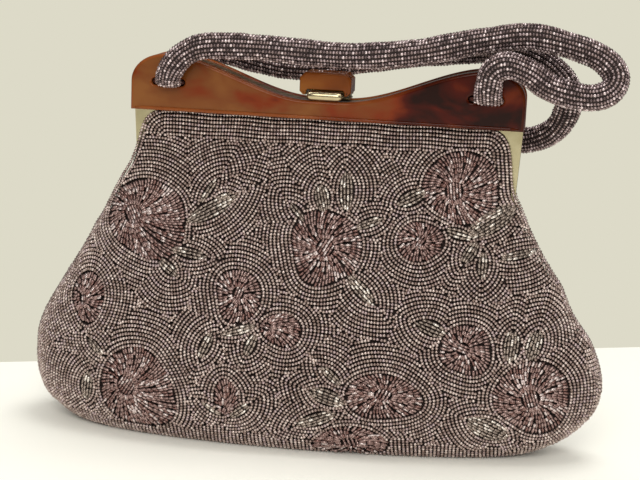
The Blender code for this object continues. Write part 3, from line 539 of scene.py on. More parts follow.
# The beaded pattern. A flower is (middle across and down, half width and height, knot across and
# down, slant of the knot in degrees) on the cloth, and a leaf is (tip across, tip down, foot
# across, foot down, half width).
FLOWERS = [
    (-75.5, 49.0, 19.0, 17.5, -82.0, 48.0, 60), (5.0, 55.0, 15.6, 15.5, 5.0, 55.0, -62),
    (60.5, 26.0, 16.0, 16.0, 57.0, 27.5, 82), (44.5, 50.0, 9.3, 9.0, 44.5, 49.5, -60),
    (-100.5, 86.0, 8.6, 10.5, -102.5, 87.0, 80), (-30.5, 78.0, 10.1, 11.0, -30.5, 77.0, -70),
    (-11.0, 91.0, 8.7, 7.0, -17.5, 90.0, 20), (33.5, 117.0, 15.6, 10.5, 33.5, 115.5, -70),
    (67.0, 95.0, 10.9, 10.6, 65.5, 94.5, 20), (20.0, 139.5, 16.5, 8.0, 20.0, 138.0, 80),
    (-33.5, 121.5, 4.8, 8.2, -34.0, 127.0, -60), (-73.5, 123.0, 17.2, 19.0, -78.5, 121.0, -55),
    (97.0, 115.0, 16.5, 16.0, 95.5, 115.0, 72),
]
LEAVES = [
    (-45.0, 29.0, -51.5, 40.0, 1.7), (-37.5, 35.0, -45.0, 38.0, 1.7),
    (-35.5, 36.0, -57.0, 49.0, 3.8), (-46.0, 63.0, -62.5, 61.0, 2.5),
    (-58.5, 72.0, -67.5, 66.0, 2.5), (-12.0, 37.0, -5.0, 44.0, 1.7),
    (28.0, 41.0, 17.0, 46.0, 2.1), (27.5, 78.0, 15.5, 66.0, 2.9),
    (11.0, 22.0, 12.5, 39.0, 3.3), (0.0, 28.0, 3.5, 40.0, 3.4),
    (33.5, 35.0, 45.5, 28.0, 3.3), (63.0, 59.0, 68.5, 49.0, 2.9),
    (71.5, 65.0, 71.5, 53.0, 2.5), (45.0, 84.0, 58.0, 89.0, 3.3),
    (6.5, 105.0, 15.5, 113.0, 2.1), (2.0, 116.0, 17.5, 121.0, 3.6),
    (-3.0, 132.0, 14.0, 125.5, 3.0), (-44.0, 125.0, -35.5, 130.0, 1.2),
    (-23.0, 124.0, -32.0, 131.0, 2.1), (-40.5, 94.0, -45.5, 106.0, 2.5),
    (-22.0, 94.0, -26.0, 103.0, 2.5), (-36.5, 95.0, -22.0, 90.0, 2.1),
    (-98.5, 103.0, -90.0, 110.0, 2.1), (-99.5, 132.0, -97.5, 118.0, 3.3),
    (86.5, 86.0, 85.5, 100.0, 3.7), (97.5, 86.0, 94.0, 99.0, 3.7),
    (69.0, 125.0, 87.5, 134.0, 5.0), (96.0, 53.0, 78.5, 56.0, 2.0),
    (64.5, 47.0, 84.0, 33.0, 5.0), (54.5, 44.5, 66.5, 47.5, 2.6),
]

# %% Outlines of flowers and leaves
Flower = namedtuple("Flower", "middle scale radius knot slant")
Leaf = namedtuple("Leaf", "middle axis across radius reach half")
LOBES = (0.05, 0.05, 0.02)  # heights of a rim's two, three and four waves, over its radius
LEAST_SLOPE = 0.3
FLOWER_RISE = 1.7
SMALL_FLOWER_RISE = (0.16, 0.4)  # a small flower rises this share of its radius, plus this
LEAF_RISE = 0.6
SWAY_MM = 0.7


def square_to(way):
    """A direction on the cloth, turned by a right angle."""
    return np.stack([-way[..., 1], way[..., 0]], -1)


def motif_shapes():
    """Flowers as scaled circles, leaves as two crossing circles, in one list."""
    shapes = []
    for s, t, half, tall, *knot, slant in FLOWERS:
        mean = math.sqrt(half * tall)
        scale = np.array([mean / half, mean / tall])
        shapes.append(Flower(np.array([s, t]), scale, mean, np.array(knot), slant))
    for s0, t0, s1, t1, half in LEAVES:
        tip, foot = np.array([s0, t0]), np.array([s1, t1])
        reach = np.linalg.norm(tip - foot) / 2
        radius = (reach**2 + half**2) / (2 * half)
        axis = (tip - foot) / (2 * reach)
        across = square_to(axis) * (radius - half)
        shapes.append(Leaf((tip + foot) / 2, axis, across, radius, reach, half))
    return shapes


MOTIFS = motif_shapes()


def lobed(flower, angle):
    """A flower's radius at an angle: a circle plus three small waves whose places vary."""
    first = flower.middle[0] + flower.middle[1]
    two, three, four = (
        height * np.cos(number * angle + (number - 1) * first)
        for number, height in enumerate(LOBES, 2)
    )
    return flower.radius * (1 + (two + three) + four)


def distance_to(shape, where):
    """Distance outside a motif's outline. For a flower it is (length of the scaled offset - its
    lobed radius) over that length's slope, and for a leaf the larger of two circles' distances."""
    if isinstance(shape, Flower):
        offset = (where - shape.middle) * shape.scale
        length = np.maximum(np.linalg.norm(offset, axis=-1), 1e-6)
        slope = np.linalg.norm(offset * shape.scale, axis=-1) / length
        beyond = length - lobed(shape, np.arctan2(offset[..., 1], offset[..., 0]))
        return beyond / np.maximum(slope, LEAST_SLOPE)
    one = np.linalg.norm(where - shape.middle - shape.across, axis=-1)
    two = np.linalg.norm(where - shape.middle + shape.across, axis=-1)
    return np.maximum(one, two) - shape.radius


# %% The skin of the pouch
def pouch_table():
    """The front of the pouch as a grid over distance down the middle and share across."""
    height, right_half, left_half, edge, depth, full = smooth_line(POUCH_ROWS, 8).T
    phi = np.radians(np.linspace(-90, 90, ROUND_STEPS))
    middle = len(phi) // 2
    half = np.where(phi[None] < 0, left_half[:, None], right_half[:, None])
    fall = np.abs(np.cos(phi)) ** full[:, None]
    y = -(edge[:, None] + (depth - edge)[:, None] * fall)
    low = smooth_step((FULLER_BELOW - height[:, None]) / FULLER_OVER)
    y *= 1 - FULLER_LEFT * low * np.sin(phi)
    skin = np.stack([half * np.sin(phi), y, np.repeat(height[:, None], len(phi), 1)], 2)
    down = travelled(skin[:, middle])
    steps = np.arange(0, down[-1], 1.0)
    even, reach = [], []
    for t in steps:
        i = min(np.searchsorted(down, t, side="right") - 1, len(down) - 2)
        mix = (t - down[i]) / (down[i + 1] - down[i])
        row = skin[i] * (1 - mix) + skin[i + 1] * mix
        s = travelled(row)
        s -= s[middle]
        at = np.where(SHARE < 0, -SHARE * s[0], SHARE * s[-1])
        even.append(read_off(at, s, row))
        reach.append((-s[0], s[-1]))
    return steps, np.array(reach), np.array(even)


def slow_waves(s, t):
    """The hand-sewn cloth's waves: sin(s / 17 + 1.3) sin(t / 21) + 0.6 sin(s / 31 - t / 13), which
    fade out near the frame, the bottom and the side seams."""
    waves = np.sin(s / 17 + 1.3) * np.sin(t / 21) + 0.6 * np.sin(s / 31 - t / 13)
    below_frame = smooth_step((t - 22) / 30) * smooth_step((150 - t) / 25)
    return waves * (SWAY_MM * below_frame * np.clip((1 - np.abs(SHARE)) * 6, 0, 1))


DOWN, REACH, plain_skin = pouch_table()
LAST_DOWN = DOWN[-1] - 1  # beads stop this far down the cloth
across_mm = np.where(SHARE < 0, SHARE * REACH[:, :1], SHARE * REACH[:, 1:])
chart = np.stack([across_mm, np.repeat(DOWN[:, None], TABLE_COLUMNS, 1)], 2)
rise = np.zeros(chart.shape[:2])
for shape in MOTIFS:
    if isinstance(shape, Flower):
        half = shape.radius
        tall = min(FLOWER_RISE, SMALL_FLOWER_RISE[0] * half + SMALL_FLOWER_RISE[1])
    else:
        half, tall = shape.half, LEAF_RISE
    rise = np.maximum(rise, tall * np.sqrt(np.clip(-distance_to(shape, chart) / half, 0, 1)))
sway = slow_waves(chart[..., 0], chart[..., 1])
skin_normal = unit(np.cross(np.gradient(plain_skin, axis=0), np.gradient(plain_skin, axis=1)))
SKIN = plain_skin + skin_normal * (rise + sway)[..., None]
print("cloth from top to bottom seam:", round(DOWN[-1]), "mm; widest", REACH.sum(1).max().round())


def on_cloth(s, t):
    """The point of the cloth at distance s across and t down, between the grid's points."""
    row = np.clip(t, 0, DOWN[-1] - 1e-6)
    i = row.astype(int)
    below = np.minimum(i + 1, len(DOWN) - 1)
    reach = REACH[i] + (REACH[below] - REACH[i]) * (row - i)[:, None]
    part = np.clip(np.where(s < 0, s / reach[:, 0], s / reach[:, 1]), -1, 1)
    column = np.clip((part + 1) / 2 * (TABLE_COLUMNS - 1), 0, TABLE_COLUMNS - 1 - 1e-6)
    j = column.astype(int)
    u, v = (row - i)[:, None], (column - j)[:, None]
    near, far = (SKIN[k, j] * (1 - v) + SKIN[k, j + 1] * v for k in (i, below))
    return near * (1 - u) + far * u


# %% [markdown]
# ## Laying the beads
# The beader first sews every flower and leaf, then runs rows of seed beads round each of them,
# one outside the other, until the rows of two neighbours meet. So each bead belongs to the motif
# that it is nearest to. A few rows along the mouth follow the frame, short rows stand across the
# fold at the bottom and across the side seams, and a string of beads runs down each side seam.
# Where a hole is left between rows, the beader sews a single bead into it.

# %% Rows of seed beads
ROW_PITCH = 1.66
BEAD_SPACING = 1.36
BEAD_LENGTH = 1.16
BEAD_RADIUS = 0.77
BEAD_LENGTHS = (0.9, 1.05)  # least and greatest, over BEAD_LENGTH
MOST_ROWS = 30
FRAME_ROWS = 7
SIDE_ROWS = (2, 5)  # on the left and the right side
FRAME_LEAD = 8.0
CORNER = 11.0
FRAME_HALF = 80.2
FRAME_REACH = 42.0
EDGE_MARGIN, TOP_MARGIN = 1.9, 0.3
STRING_IN = 0.8  # the string of beads down each side seam lies this far in
TOO_NEAR = 1.1
THIN_ROUNDS, BAND_MM = 8, 4  # rounds of thinning out, and the bands of cloth that it goes by
CLEAR_OF_MOTIF = (0.45, 0.55)  # the least room between a motif and a row's bead, or a hole's
LEAST_MARGIN = -4.0  # how far a row may run on past the place where two motifs are equally near
HOLE_CELL, HOLE_ROOM = 0.3, 1.22  # a hole's middle is that far from every bead's middle
COMB_WIDE, COMB_WAVER = 5.6, 3.4
COMB_FROM = 96.0  # down the cloth, where the rows across the side seams begin
COMB_RANK = -5.0  # puts those rows before all others
FOLD_HEIGHT = 3.0  # the cloth turns under the bag at this height, and this far down the cloth:
FOLD_UNDER = float(np.interp(-FOLD_HEIGHT, -plain_skin[:, TABLE_COLUMNS // 2, 2], DOWN))
WAVER = 0.22  # how far a hand-laid row strays
SIDES = ((-1, 0), (1, 1))  # way across, and column of REACH: the left side, then the right one


def half_widths(t):
    """How far the cloth reaches to the left and to the right at distance t down."""
    return read_off(t, DOWN, REACH)


# %% Where the rows along the frame, the fold and the seams lie
def frame_distance(where):
    """Distance in from the mouth's edge, with rounded corners, less a lead; far below: none."""
    s, t = np.abs(where[..., 0]), where[..., 1]
    side = np.where(where[..., 0] < 0, 0, 1)
    row = np.clip(t, 0, DOWN[-1]).astype(int)
    half = np.maximum(REACH[row, side], FRAME_HALF)
    over, under = s - (half - CORNER), CORNER - t
    corner = CORNER - np.hypot(over, under)
    inside = np.where((over > 0) & (under > 0), corner, np.minimum(t, half - s))
    beyond = (t > FRAME_REACH) | (inside > FRAME_ROWS * ROW_PITCH)
    beyond |= (t > CORNER) & (inside > np.array(SIDE_ROWS)[side] * ROW_PITCH)
    return np.where(beyond, np.inf, inside - FRAME_LEAD)


def comb_distances(where):
    """Where rows stand across the bottom fold, or across a side seam, -5, and elsewhere none."""
    s, t = where[:, 0], where[:, 1]
    wide = COMB_WIDE + COMB_WAVER * np.sin(s / 5.1) * np.sin(s / 8.7 + t / 6.3)
    reach = half_widths(t)
    from_side = np.where(s < 0, reach[:, 0] + s, reach[:, 1] - s)
    from_fold = FOLD_UNDER - t
    bottom = (from_fold < wide) & (from_fold < from_side)
    side = (from_side < wide) & (from_fold >= from_side) & (t > COMB_FROM)
    return [np.where(part, COMB_RANK, np.inf) for part in (bottom, side)]


def comb_rows():
    """Short rows that stand across the bottom fold, and others across the two side seams."""
    reach = COMB_WIDE + COMB_WAVER
    t = np.linspace(FOLD_UNDER - reach, LAST_DOWN, 20)
    under = [np.stack([np.full(20, s), t], 1) for s in np.arange(-120, 120, ROW_PITCH)]
    sides = []
    for way, side in SIDES:
        seam = travelled(SKIN[:, -side])
        first = np.interp(COMB_FROM, DOWN, seam)
        for t in np.interp(np.arange(first, seam[-1], ROW_PITCH), seam, DOWN):
            edge = np.interp(t, DOWN, REACH[:, side])
            line = np.linspace(edge - reach, edge - STRING_IN - BEAD_SPACING / 2, 12) * way
            sides.append(np.stack([line, np.full(12, t)], 1))
    return under, sides


def edge_strings():
    """A string of beads down each side seam, in even steps along the seam as it lies in space."""
    strings = []
    for way, side in SIDES:
        t = np.linspace(1, LAST_DOWN, 800)
        s = way * (half_widths(t)[:, side] - STRING_IN)
        length = travelled(on_cloth(s, t))
        at = np.arange(BEAD_SPACING / 2, length[-1], BEAD_SPACING)
        strings.append(read_off(at, length, np.stack([s, t], 1)))
    return strings


def row_round(shape, offset):
    """The line that stays offset outside a motif's outline."""
    if isinstance(shape, Flower):
        turn = np.linspace(0, 2 * np.pi, ROUND_STEPS)
        ring = circle(turn) * lobed(shape, turn)[:, None] / shape.scale
        return [shape.middle + ring - offset * square_to(unit(np.gradient(ring, axis=0)))]
    wide = math.acos(np.clip((shape.radius - shape.half) / (shape.radius + offset), -1, 1))
    sweep = np.linspace(-wide, wide, 91)
    outward = unit(shape.across)
    lines = []
    for way in (1, -1):
        arm = -way * outward * np.cos(sweep)[:, None] + shape.axis * np.sin(sweep)[:, None]
        lines.append(shape.middle + way * shape.across + (shape.radius + offset) * arm)
    return lines


def frame_row(offset):
    """The line that stays offset inside the mouth's edge: along the top and down both sides."""
    flat = np.linspace(-(FRAME_HALF - CORNER), FRAME_HALF - CORNER, 60)
    lines = [np.stack([flat, np.full(60, offset)], 1)]
    for way, side in SIDES:
        if CORNER - offset > 1:
            turn = np.linspace(0, np.pi / 2, 20)
            bend = np.stack([np.sin(turn) * way, -np.cos(turn)], 1) * (CORNER - offset)
            lines.append(bend + [way * (FRAME_HALF - CORNER), CORNER])
        t = np.linspace(CORNER, FRAME_REACH, 40)
        half = np.maximum(half_widths(t)[:, side], FRAME_HALF)
        lines.append(np.stack([way * (half - offset), t], 1))
    return lines


# %% Laying the rows and thinning them out
def within(where):
    """True where a bead is clear of the cloth's top, of its bottom seam and of the seam strings."""
    s, t = where.T
    left, right = (half_widths(t) - EDGE_MARGIN).T
    return (t > TOP_MARGIN) & (t < LAST_DOWN) & (s > -left) & (s < right)


def lay_rows():
    """Every bead's place on the cloth, its row's direction, and its margin, which is how much
    further off the next motif is than its own."""
    lines = []
    for number, shape in enumerate(MOTIFS):
        for k in range(MOST_ROWS):
            lines += [(number, line) for line in row_round(shape, (k + 0.5) * ROW_PITCH)]
    for k in range(FRAME_ROWS):
        lines += [(len(MOTIFS), line) for line in frame_row((k + 0.5) * ROW_PITCH)]
    for number, comb in enumerate(comb_rows(), len(MOTIFS) + 1):
        lines += [(number, line) for line in comb]
    where, heading, owner = [], [], []
    for number, line in lines:
        at = spaced(line, BEAD_SPACING)
        at = at + WAVER * np.sin(at[:, ::-1] / 4.3 + at / 7.9)
        where.append(at)
        heading.append(np.gradient(at, axis=0) if len(at) > 1 else np.array([[1.0, 0.0]]))
        owner.append(np.full(len(at), number))
    where, heading, owner = (np.concatenate(parts) for parts in (where, heading, owner))
    inside = within(where)
    where, heading, owner = where[inside], heading[inside], owner[inside]
    far = [distance_to(shape, where) for shape in MOTIFS] + [frame_distance(where)]
    far = np.stack(far + comb_distances(where), 1)
    own = far[np.arange(len(where)), owner]
    far[np.arange(len(where)), owner] = np.inf
    margin = far.min(1) - own
    keep = (margin > LEAST_MARGIN) & (far[:, : len(MOTIFS)].min(1) > CLEAR_OF_MOTIF[0])
    return where[keep], heading[keep], margin[keep]


def thin_out(where, margin, apart):
    """Keeps the surest bead of each crowd, drops those nearer to it than apart, and repeats."""
    rank = margin + np.arange(len(margin)) * 1e-9
    open_, kept = np.ones(len(where), bool), np.zeros(len(where), bool)
    band = (where[:, 1] // BAND_MM).astype(int)

    def crowds(others):
        """For each band: its open beads, the others in and beside it, and which are too near."""
        for number in range(band.max() + 1):
            mine = np.flatnonzero((band == number) & open_)
            around = np.flatnonzero((np.abs(band - number) <= 1) & others)
            gap = np.linalg.norm(where[mine, None] - where[None, around], axis=2)
            yield mine, around, gap < apart

    for _ in range(THIN_ROUNDS):
        chosen = np.zeros(len(where), bool)
        for mine, around, near in crowds(open_):
            chosen[mine] = ~(near & (rank[None, around] > rank[mine, None])).any(1)
        kept |= chosen
        open_ &= ~chosen
        for mine, _, near in crowds(chosen):
            open_[mine] = ~near.any(1)
    return kept


def fill_holes(where, heading):
    """Single beads for the holes between rows: cells that no bead comes near, thinned out."""
    low = np.array([-REACH[:, 0].max(), 0.0])
    grid = ((np.array([REACH[:, 1].max(), DOWN[-1]]) - low) / HOLE_CELL).astype(int) + 1
    steps = np.arange(-5, 6)
    disc = np.stack(np.meshgrid(steps, steps), -1).reshape(-1, 2)
    disc = disc[np.hypot(*disc.T) * HOLE_CELL < HOLE_ROOM]
    cells = ((where - low) / HOLE_CELL).round().astype(int)
    cells = (cells[:, None] + disc).reshape(-1, 2)
    cells = cells[((cells >= 0) & (cells < grid)).all(1)]
    taken = np.zeros(grid, bool)
    taken[cells[:, 0], cells[:, 1]] = True
    holes = np.argwhere(~taken) * HOLE_CELL + low
    holes = holes[within(holes)]
    far = np.min([distance_to(shape, holes) for shape in MOTIFS], axis=0)
    holes = holes[far > CLEAR_OF_MOTIF[1]]
    holes = holes[thin_out(holes, dice.uniform(0, 1, len(holes)), HOLE_ROOM)]
    nearest = np.linalg.norm(holes[:, None] - where[None], axis=2).argmin(1)
    return np.concatenate([where, holes]), np.concatenate([heading, heading[nearest]])


where, heading, margin = lay_rows()
kept = thin_out(where, margin, TOO_NEAR)
where, heading = where[kept], heading[kept]
in_rows = len(where)
where, heading = fill_holes(where, heading)
print("beads in rows:", in_rows, "and in the holes between them:", len(where) - in_rows)
for string in edge_strings():
    where = np.concatenate([where, string])
    heading = np.concatenate([heading, np.gradient(string, axis=0)])
print("seed beads on one side:", len(where))

# %% [markdown]
# A flower is sewn from strands of short bugles that arch from its middle out to its rim, and a
# raised knot of slanting strands covers the middle. A leaf is a few lanes of bugles side by side,
# which bow out with its outline. They are laid like bricks, and the lanes end one after the
# other, so that the two ends of the leaf stand in steps.

# %% Flowers and leaves
BUGLE_RADIUS, BUGLE_LENGTH = 0.6, 2.3
BUGLE_RADII = (0.92, 1.06)  # least and greatest, over BUGLE_RADIUS
STRAND_PITCH = 1.5
PETAL_WIDTH, FEWEST_PETALS = 3.0, 4
PETAL_BENDS = (0.1, 0.5)  # radians
PETAL_NOTCH = (0.05, 2.5)  # depth of the notch between petals over the rim's radius, and its power
RIM_STRAY = (0.15, 0.35)  # mean and spread of how far strands stray over the rim
START_STEP, START_POWER = 0.618, 1.2
KNOT_SHARE, INNER_SHARE = 0.24, 0.8  # strands start between these shares of the way to the rim
ARCH_MM, ARCH_OVER = 0.9, 9  # a strand's rise, which a strand shorter than 9 mm has less of
STRAND_LIFTS = (0.2, 0.3)  # a strand lies this high, and every second one this much higher
STRAND_STRAY = (0.08, 0.09)  # spread of a bugle's height, and of its direction
KNOT_PITCH, KNOT_BUGLE, KNOT_GAP = 1.28, 2.2, 0.12
KNOT_HALF_WIDTH, KNOT_LENGTH = 0.2, 0.78  # over the flower's radius
KNOT_RISE, KNOT_FALL = 1.6, 3.2  # height in the middle, and its fall by the square of the part
LANE_PITCH, LANE_SPREAD, LANE_GAP = 1.5, 1.1, 0.3
LANE_SLACK, LANE_REACH = 1.12, 0.98  # how far a lane may pass the outline, and the leaf's length
LEAF_BUGLES, LEAF_SHORTEST = (1.9, 3.1), 1.4
LEAF_LIFT, LEAF_STRAY, LEAF_TURN = 0.3, 0.12, 0.07
STRAND_FILL = 0.9  # a bugle's share of its place in a strand; the rest is a gap
BUGLE_TILT = 0.03
STRETCH = (0.95, 1.25)  # beads follow the stretch of the cloth's distances within these limits
PROBE_MM = 0.4


# %% Strands of a flower and lanes of a leaf
def flower_strands(flower):
    """Strands run from the knot to a lobed rim, arch over the cloth and bend with their petal.
    Where strand k starts goes by the fraction part of 0.618 k, to the power 1.2, which keeps all
    about equally close, and a little closer near the knot."""
    middle, scale, radius, knot, slant = flower
    knot = (knot - middle) * scale
    count = int(round(2 * np.pi * radius / STRAND_PITCH))
    petals = max(int(round(radius / PETAL_WIDTH)), FEWEST_PETALS)
    turn = (np.arange(count) + dice.uniform(0, 1)) / count * petals
    bends = dice.choice([-1, 1]) * dice.uniform(*PETAL_BENDS, petals)
    bends = np.interp(turn, np.arange(petals + 1), [*bends, bends[0]], period=petals)
    angle = turn / petals * 2 * np.pi
    swell = 1 - PETAL_NOTCH[0] * np.abs(2 * (turn % 1) - 1) ** PETAL_NOTCH[1]
    rim = lobed(flower, angle) * swell + dice.normal(*RIM_STRAY, count)
    start = ((np.arange(count) * START_STEP) % 1) ** START_POWER * INNER_SHARE
    rows = []
    for k in range(count):
        away = np.array([math.cos(angle[k]), math.sin(angle[k])]) * rim[k] - knot
        far = np.linalg.norm(away)
        first = max(start[k], KNOT_SHARE * radius / far)
        run = far * (1 - first)
        along = np.linspace(first, 1, max(int(round(run / BUGLE_LENGTH)), 1) + 1)
        bend = bends[k] * (1 - along)
        spin = np.stack([np.cos(bend), -np.sin(bend), np.sin(bend), np.cos(bend)], 1)
        ends = knot + along[:, None] * (spin.reshape(-1, 2, 2) @ away)
        arch = min(run / ARCH_OVER, 1) * ARCH_MM * np.sin(np.pi * (along - first) / (1 - first))
        ends = middle + ends / scale
        for a, b, low, high in zip(ends[:-1], ends[1:], arch[:-1], arch[1:]):
            length = np.linalg.norm(b - a)
            tint = draw_tint(FLOWER_MIX)
            lift = STRAND_LIFTS[0] + STRAND_LIFTS[1] * (k % 2) + (low + high) / 2
            lift += dice.normal(0, STRAND_STRAY[0])
            way = b - a + dice.normal(0, STRAND_STRAY[1], 2) * length
            slope = (high - low) / length
            rows.append([*(a + b) / 2, *way, STRAND_FILL * length, lift, tint, slope])
    way = np.array([math.cos(math.radians(slant)), math.sin(math.radians(slant))])
    half_width = KNOT_HALF_WIDTH * radius
    lanes = max(int(round(2 * half_width / KNOT_PITCH)), 2)
    for offset in (np.arange(lanes) - (lanes - 1) / 2) * KNOT_PITCH:
        span = KNOT_LENGTH * radius * math.sqrt(1 - (offset / (1.35 * half_width + 0.5)) ** 2)
        pieces = max(int(round(span / KNOT_BUGLE)), 1)
        for part in (np.arange(pieces) + 0.5) / pieces - 0.5:
            at = middle + (knot + square_to(way) * offset + way * span * part) / scale
            lift = KNOT_RISE - KNOT_FALL * part * part
            slope = -2 * KNOT_FALL * part / span
            rows.append([*at, *way, span / pieces - KNOT_GAP, lift, draw_tint(KNOT_MIX), slope])
    return np.array(rows)


def leaf_strands(leaf):
    """Lanes of separate bugles from foot to tip, laid like bricks. A lane lies at its share of the
    half width times (1 - u squared / 2), and ends where the outline, half width times (1 - u
    squared), is hardly wider, so that the leaf's ends stand in steps."""
    middle, axis, _, _, reach, half = leaf
    across = square_to(axis)
    rows = []
    count = max(int(round(2 * half / LANE_PITCH)), 2)
    for number, lane in enumerate(np.linspace(-1, 1, count + 2)[1:-1]):
        place = LANE_SPREAD * lane * half
        end = (LANE_SLACK - LANE_SPREAD * abs(lane)) / (1 - LANE_SPREAD / 2 * abs(lane))
        end = reach * min(math.sqrt(end), LANE_REACH)
        at_length = -end - dice.uniform(0, 0.5) + 0.5 * (number % 2)
        while at_length < end - LEAF_SHORTEST:
            length = min(dice.uniform(*LEAF_BUGLES), end - at_length + 0.5)
            u = (at_length + length / 2) / reach
            way = unit(axis - across * place * u / reach)
            way = unit(way + across * dice.normal(0, LEAF_TURN))
            at = middle + axis * reach * u + across * place * (1 - u * u / 2)
            tint = len(FLOWER_TINTS) + draw_tint(LEAF_MIX)
            lift = LEAF_LIFT + dice.normal(0, LEAF_STRAY)
            tilt = dice.normal(0, LEAF_STRAY)
            rows.append([*at, *way, length - LANE_GAP, lift, tint, tilt])
            at_length += length
    return np.array(rows)


# %% From the flat pattern onto the pouch
def surface_frame(where, heading):
    """Point, direction along the heading, outward normal, and how far the cloth's own distances
    are stretched along the heading and across it."""
    s, t = where.T
    spans = []
    for way in (heading, square_to(heading)):
        ds, dt = (way * PROBE_MM).T
        spans.append(on_cloth(s + ds, t + dt) - on_cloth(s - ds, t - dt))
    along = unit(spans[0])
    normal = unit(np.cross(along, spans[1]))
    gaps = [np.linalg.norm(span, axis=1) / (2 * PROBE_MM) for span in spans]
    return on_cloth(s, t), along, normal, np.clip(gaps, *STRETCH)


count = len(where)
centre, along, normal, stretch = surface_frame(where, unit(heading))
wobble = dice.normal(0, BEAD_STRAY, (count, 1))
centre = centre - normal * (BEAD_RADIUS - wobble)
seed_tint = draw_tint(GROUND_MIX, count)
seed_beads = (
    centre,
    along + normal * dice.normal(0, BEAD_STRAY, (count, 1)),
    normal,
    BEAD_LENGTH * dice.uniform(*BEAD_LENGTHS, count) * stretch[0],
    BEAD_RADIUS * dice.uniform(*BEAD_RADII, count) * stretch[1],
)
centre[:, 2] = np.maximum(centre[:, 2], seed_beads[-1])  # the table presses the lowest beads in

# Each row: place on the cloth, direction, length, height, tint and slope.
strands = np.concatenate(
    [
        flower_strands(shape) if isinstance(shape, Flower) else leaf_strands(shape)
        for shape in MOTIFS
    ]
)
s, t = strands[:, :2].T
left, right = half_widths(t).T
strands = strands[(t > 0.5) & (t < LAST_DOWN) & (s > 1 - left) & (s < right - 1)]
place, way, length, lift, motif_tint, slope = np.split(strands, [2, 4, 5, 6, 7], axis=1)
centre, along, normal, _ = surface_frame(place, unit(way))
slope = slope + dice.normal(0, BUGLE_TILT, (len(strands), 1))
centre = centre + normal * (lift - BUGLE_RADIUS)
centre[:, 2] = np.maximum(centre[:, 2], BUGLE_RADII[1] * BUGLE_RADIUS)
radii = BUGLE_RADIUS * dice.uniform(*BUGLE_RADII, len(strands))
motif_beads = (centre, along + normal * slope, normal, length[:, 0], radii)
motif_tint = motif_tint[:, 0].astype(int)
print("bugles and strands on one side:", len(strands))


# %% [markdown]
# The cloth under the beads is dark, so that the gaps between the rows read as deep lines.

# %% Cloth, beads and lining
CLOTH_INSETS = (1.15, 1.7)
LINING_INSETS = (2.1, 2.5)
LINING_STEP = 2  # the lining takes every second point of the skin
SEAM_CLEAR = 0.12  # cloth keeps this far from the plane where front and back meet
BEADS_PER_PIECE = 6000


def flip(points):
    """The same piece on the back of the bag."""
    return points * np.array([1.0, -1.0, 1.0])


def place_side(piece, front):
    """The front's pieces stay where they are built, and the back's stay with the pouch."""
    if front:
        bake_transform(piece)
    else:
        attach(piece, "pouch")


def for_side(beads, part, front):
    """A part of the beads' arrays, with places and directions mirrored for the back."""
    return [v[part] if front or v.ndim == 1 else flip(v[part]) for v in beads]


def shell(name, insets, look, front, skip=1):
    """The pouch's skin moved inwards by two distances and closed along its edges."""
    base = plain_skin + skin_normal * sway[..., None]
    layers = []
    for inset in insets:
        layer = base - skin_normal * inset
        layer[..., 1] = np.minimum(layer[..., 1], -SEAM_CLEAR)
        layers.append(layer[::skip, ::skip])
    corners, faces = closed_shell(*layers)
    if not front:
        corners, faces = flip(corners), faces[:, ::-1]
    return build(name, corners, [(faces, 0)], [look])


# The ground cloth's dark colour is partly its own and partly painted shade for the gaps between the
# rows of beads.
ground_cloth_and_gap_shade = mottled("dark wool ground cloth and painted gap shade", [(0.3, "#180D0A"), (0.7, "#301F1B")], 1.1, 0.9)
satin = mottled(
    "champagne satin", [(0.3, "#A8916F"), (0.7, "#BCA582")], 9.0, 0.42, Sheen_Weight=0.3
)
for front, side in ((True, "front"), (False, "back")):
    pieces = []
    for start in range(0, count, BEADS_PER_PIECE):
        part = slice(start, start + BEADS_PER_PIECE)
        solid = barrels(*for_side(seed_beads, part, front), BEAD_WAIST)
        name = f"{side}_seed_beads_{start // BEADS_PER_PIECE + 1}"
        pieces.append(bead_piece(name, [(solid, seed_tint[part])], ground_glass))
    solid = barrels(*for_side(motif_beads, slice(None), front), BUGLE_WAIST)
    looks = flower_glass + leaf_glass
    pieces.append(bead_piece(f"{side}_flowers_and_leaves", [(solid, motif_tint)], looks))
    cloth = shell(f"{side}_ground_cloth", CLOTH_INSETS, ground_cloth_and_gap_shade, front)
    lining = shell(f"{side}_satin_lining", LINING_INSETS, satin, front, LINING_STEP)
    for piece in pieces + [cloth, lining]:
        place_side(piece, front)
    if front:
        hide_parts("front_cloth", "front_cloth_top")
        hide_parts("front_lining", "front_lining_top")
    else:
        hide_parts("back_cloth")
        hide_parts("back_lining")
    print(side, [(piece.name, len(piece.data.polygons)) for piece in pieces])

# %% [markdown]
# ## Metal, plastic and clasp
# The frame is pressed sheet, plated pale gold and brushed satin. The panels are cut from cast
# sheet plastic whose dark red and amber run together, and polished.

# %% Rigid materials
plated = mottled(
    "satin pale gold plate", [(0.3, "#B3A986"), (0.7, "#C2B896")], 6.0, 0.3, 1.0, bump_mm=0.01
)
gold = mottled("polished gold plate", [(0.3, "#B5A684"), (0.7, "#C6B896")], 4.0, 0.24, 1.0)
CLOUD_MM, CLOUD_STRETCH = 30, (1.0, 1.0, 1.7)
DRIFT_X_MM = (-40, 70)  # the clouds grow darker from here to there


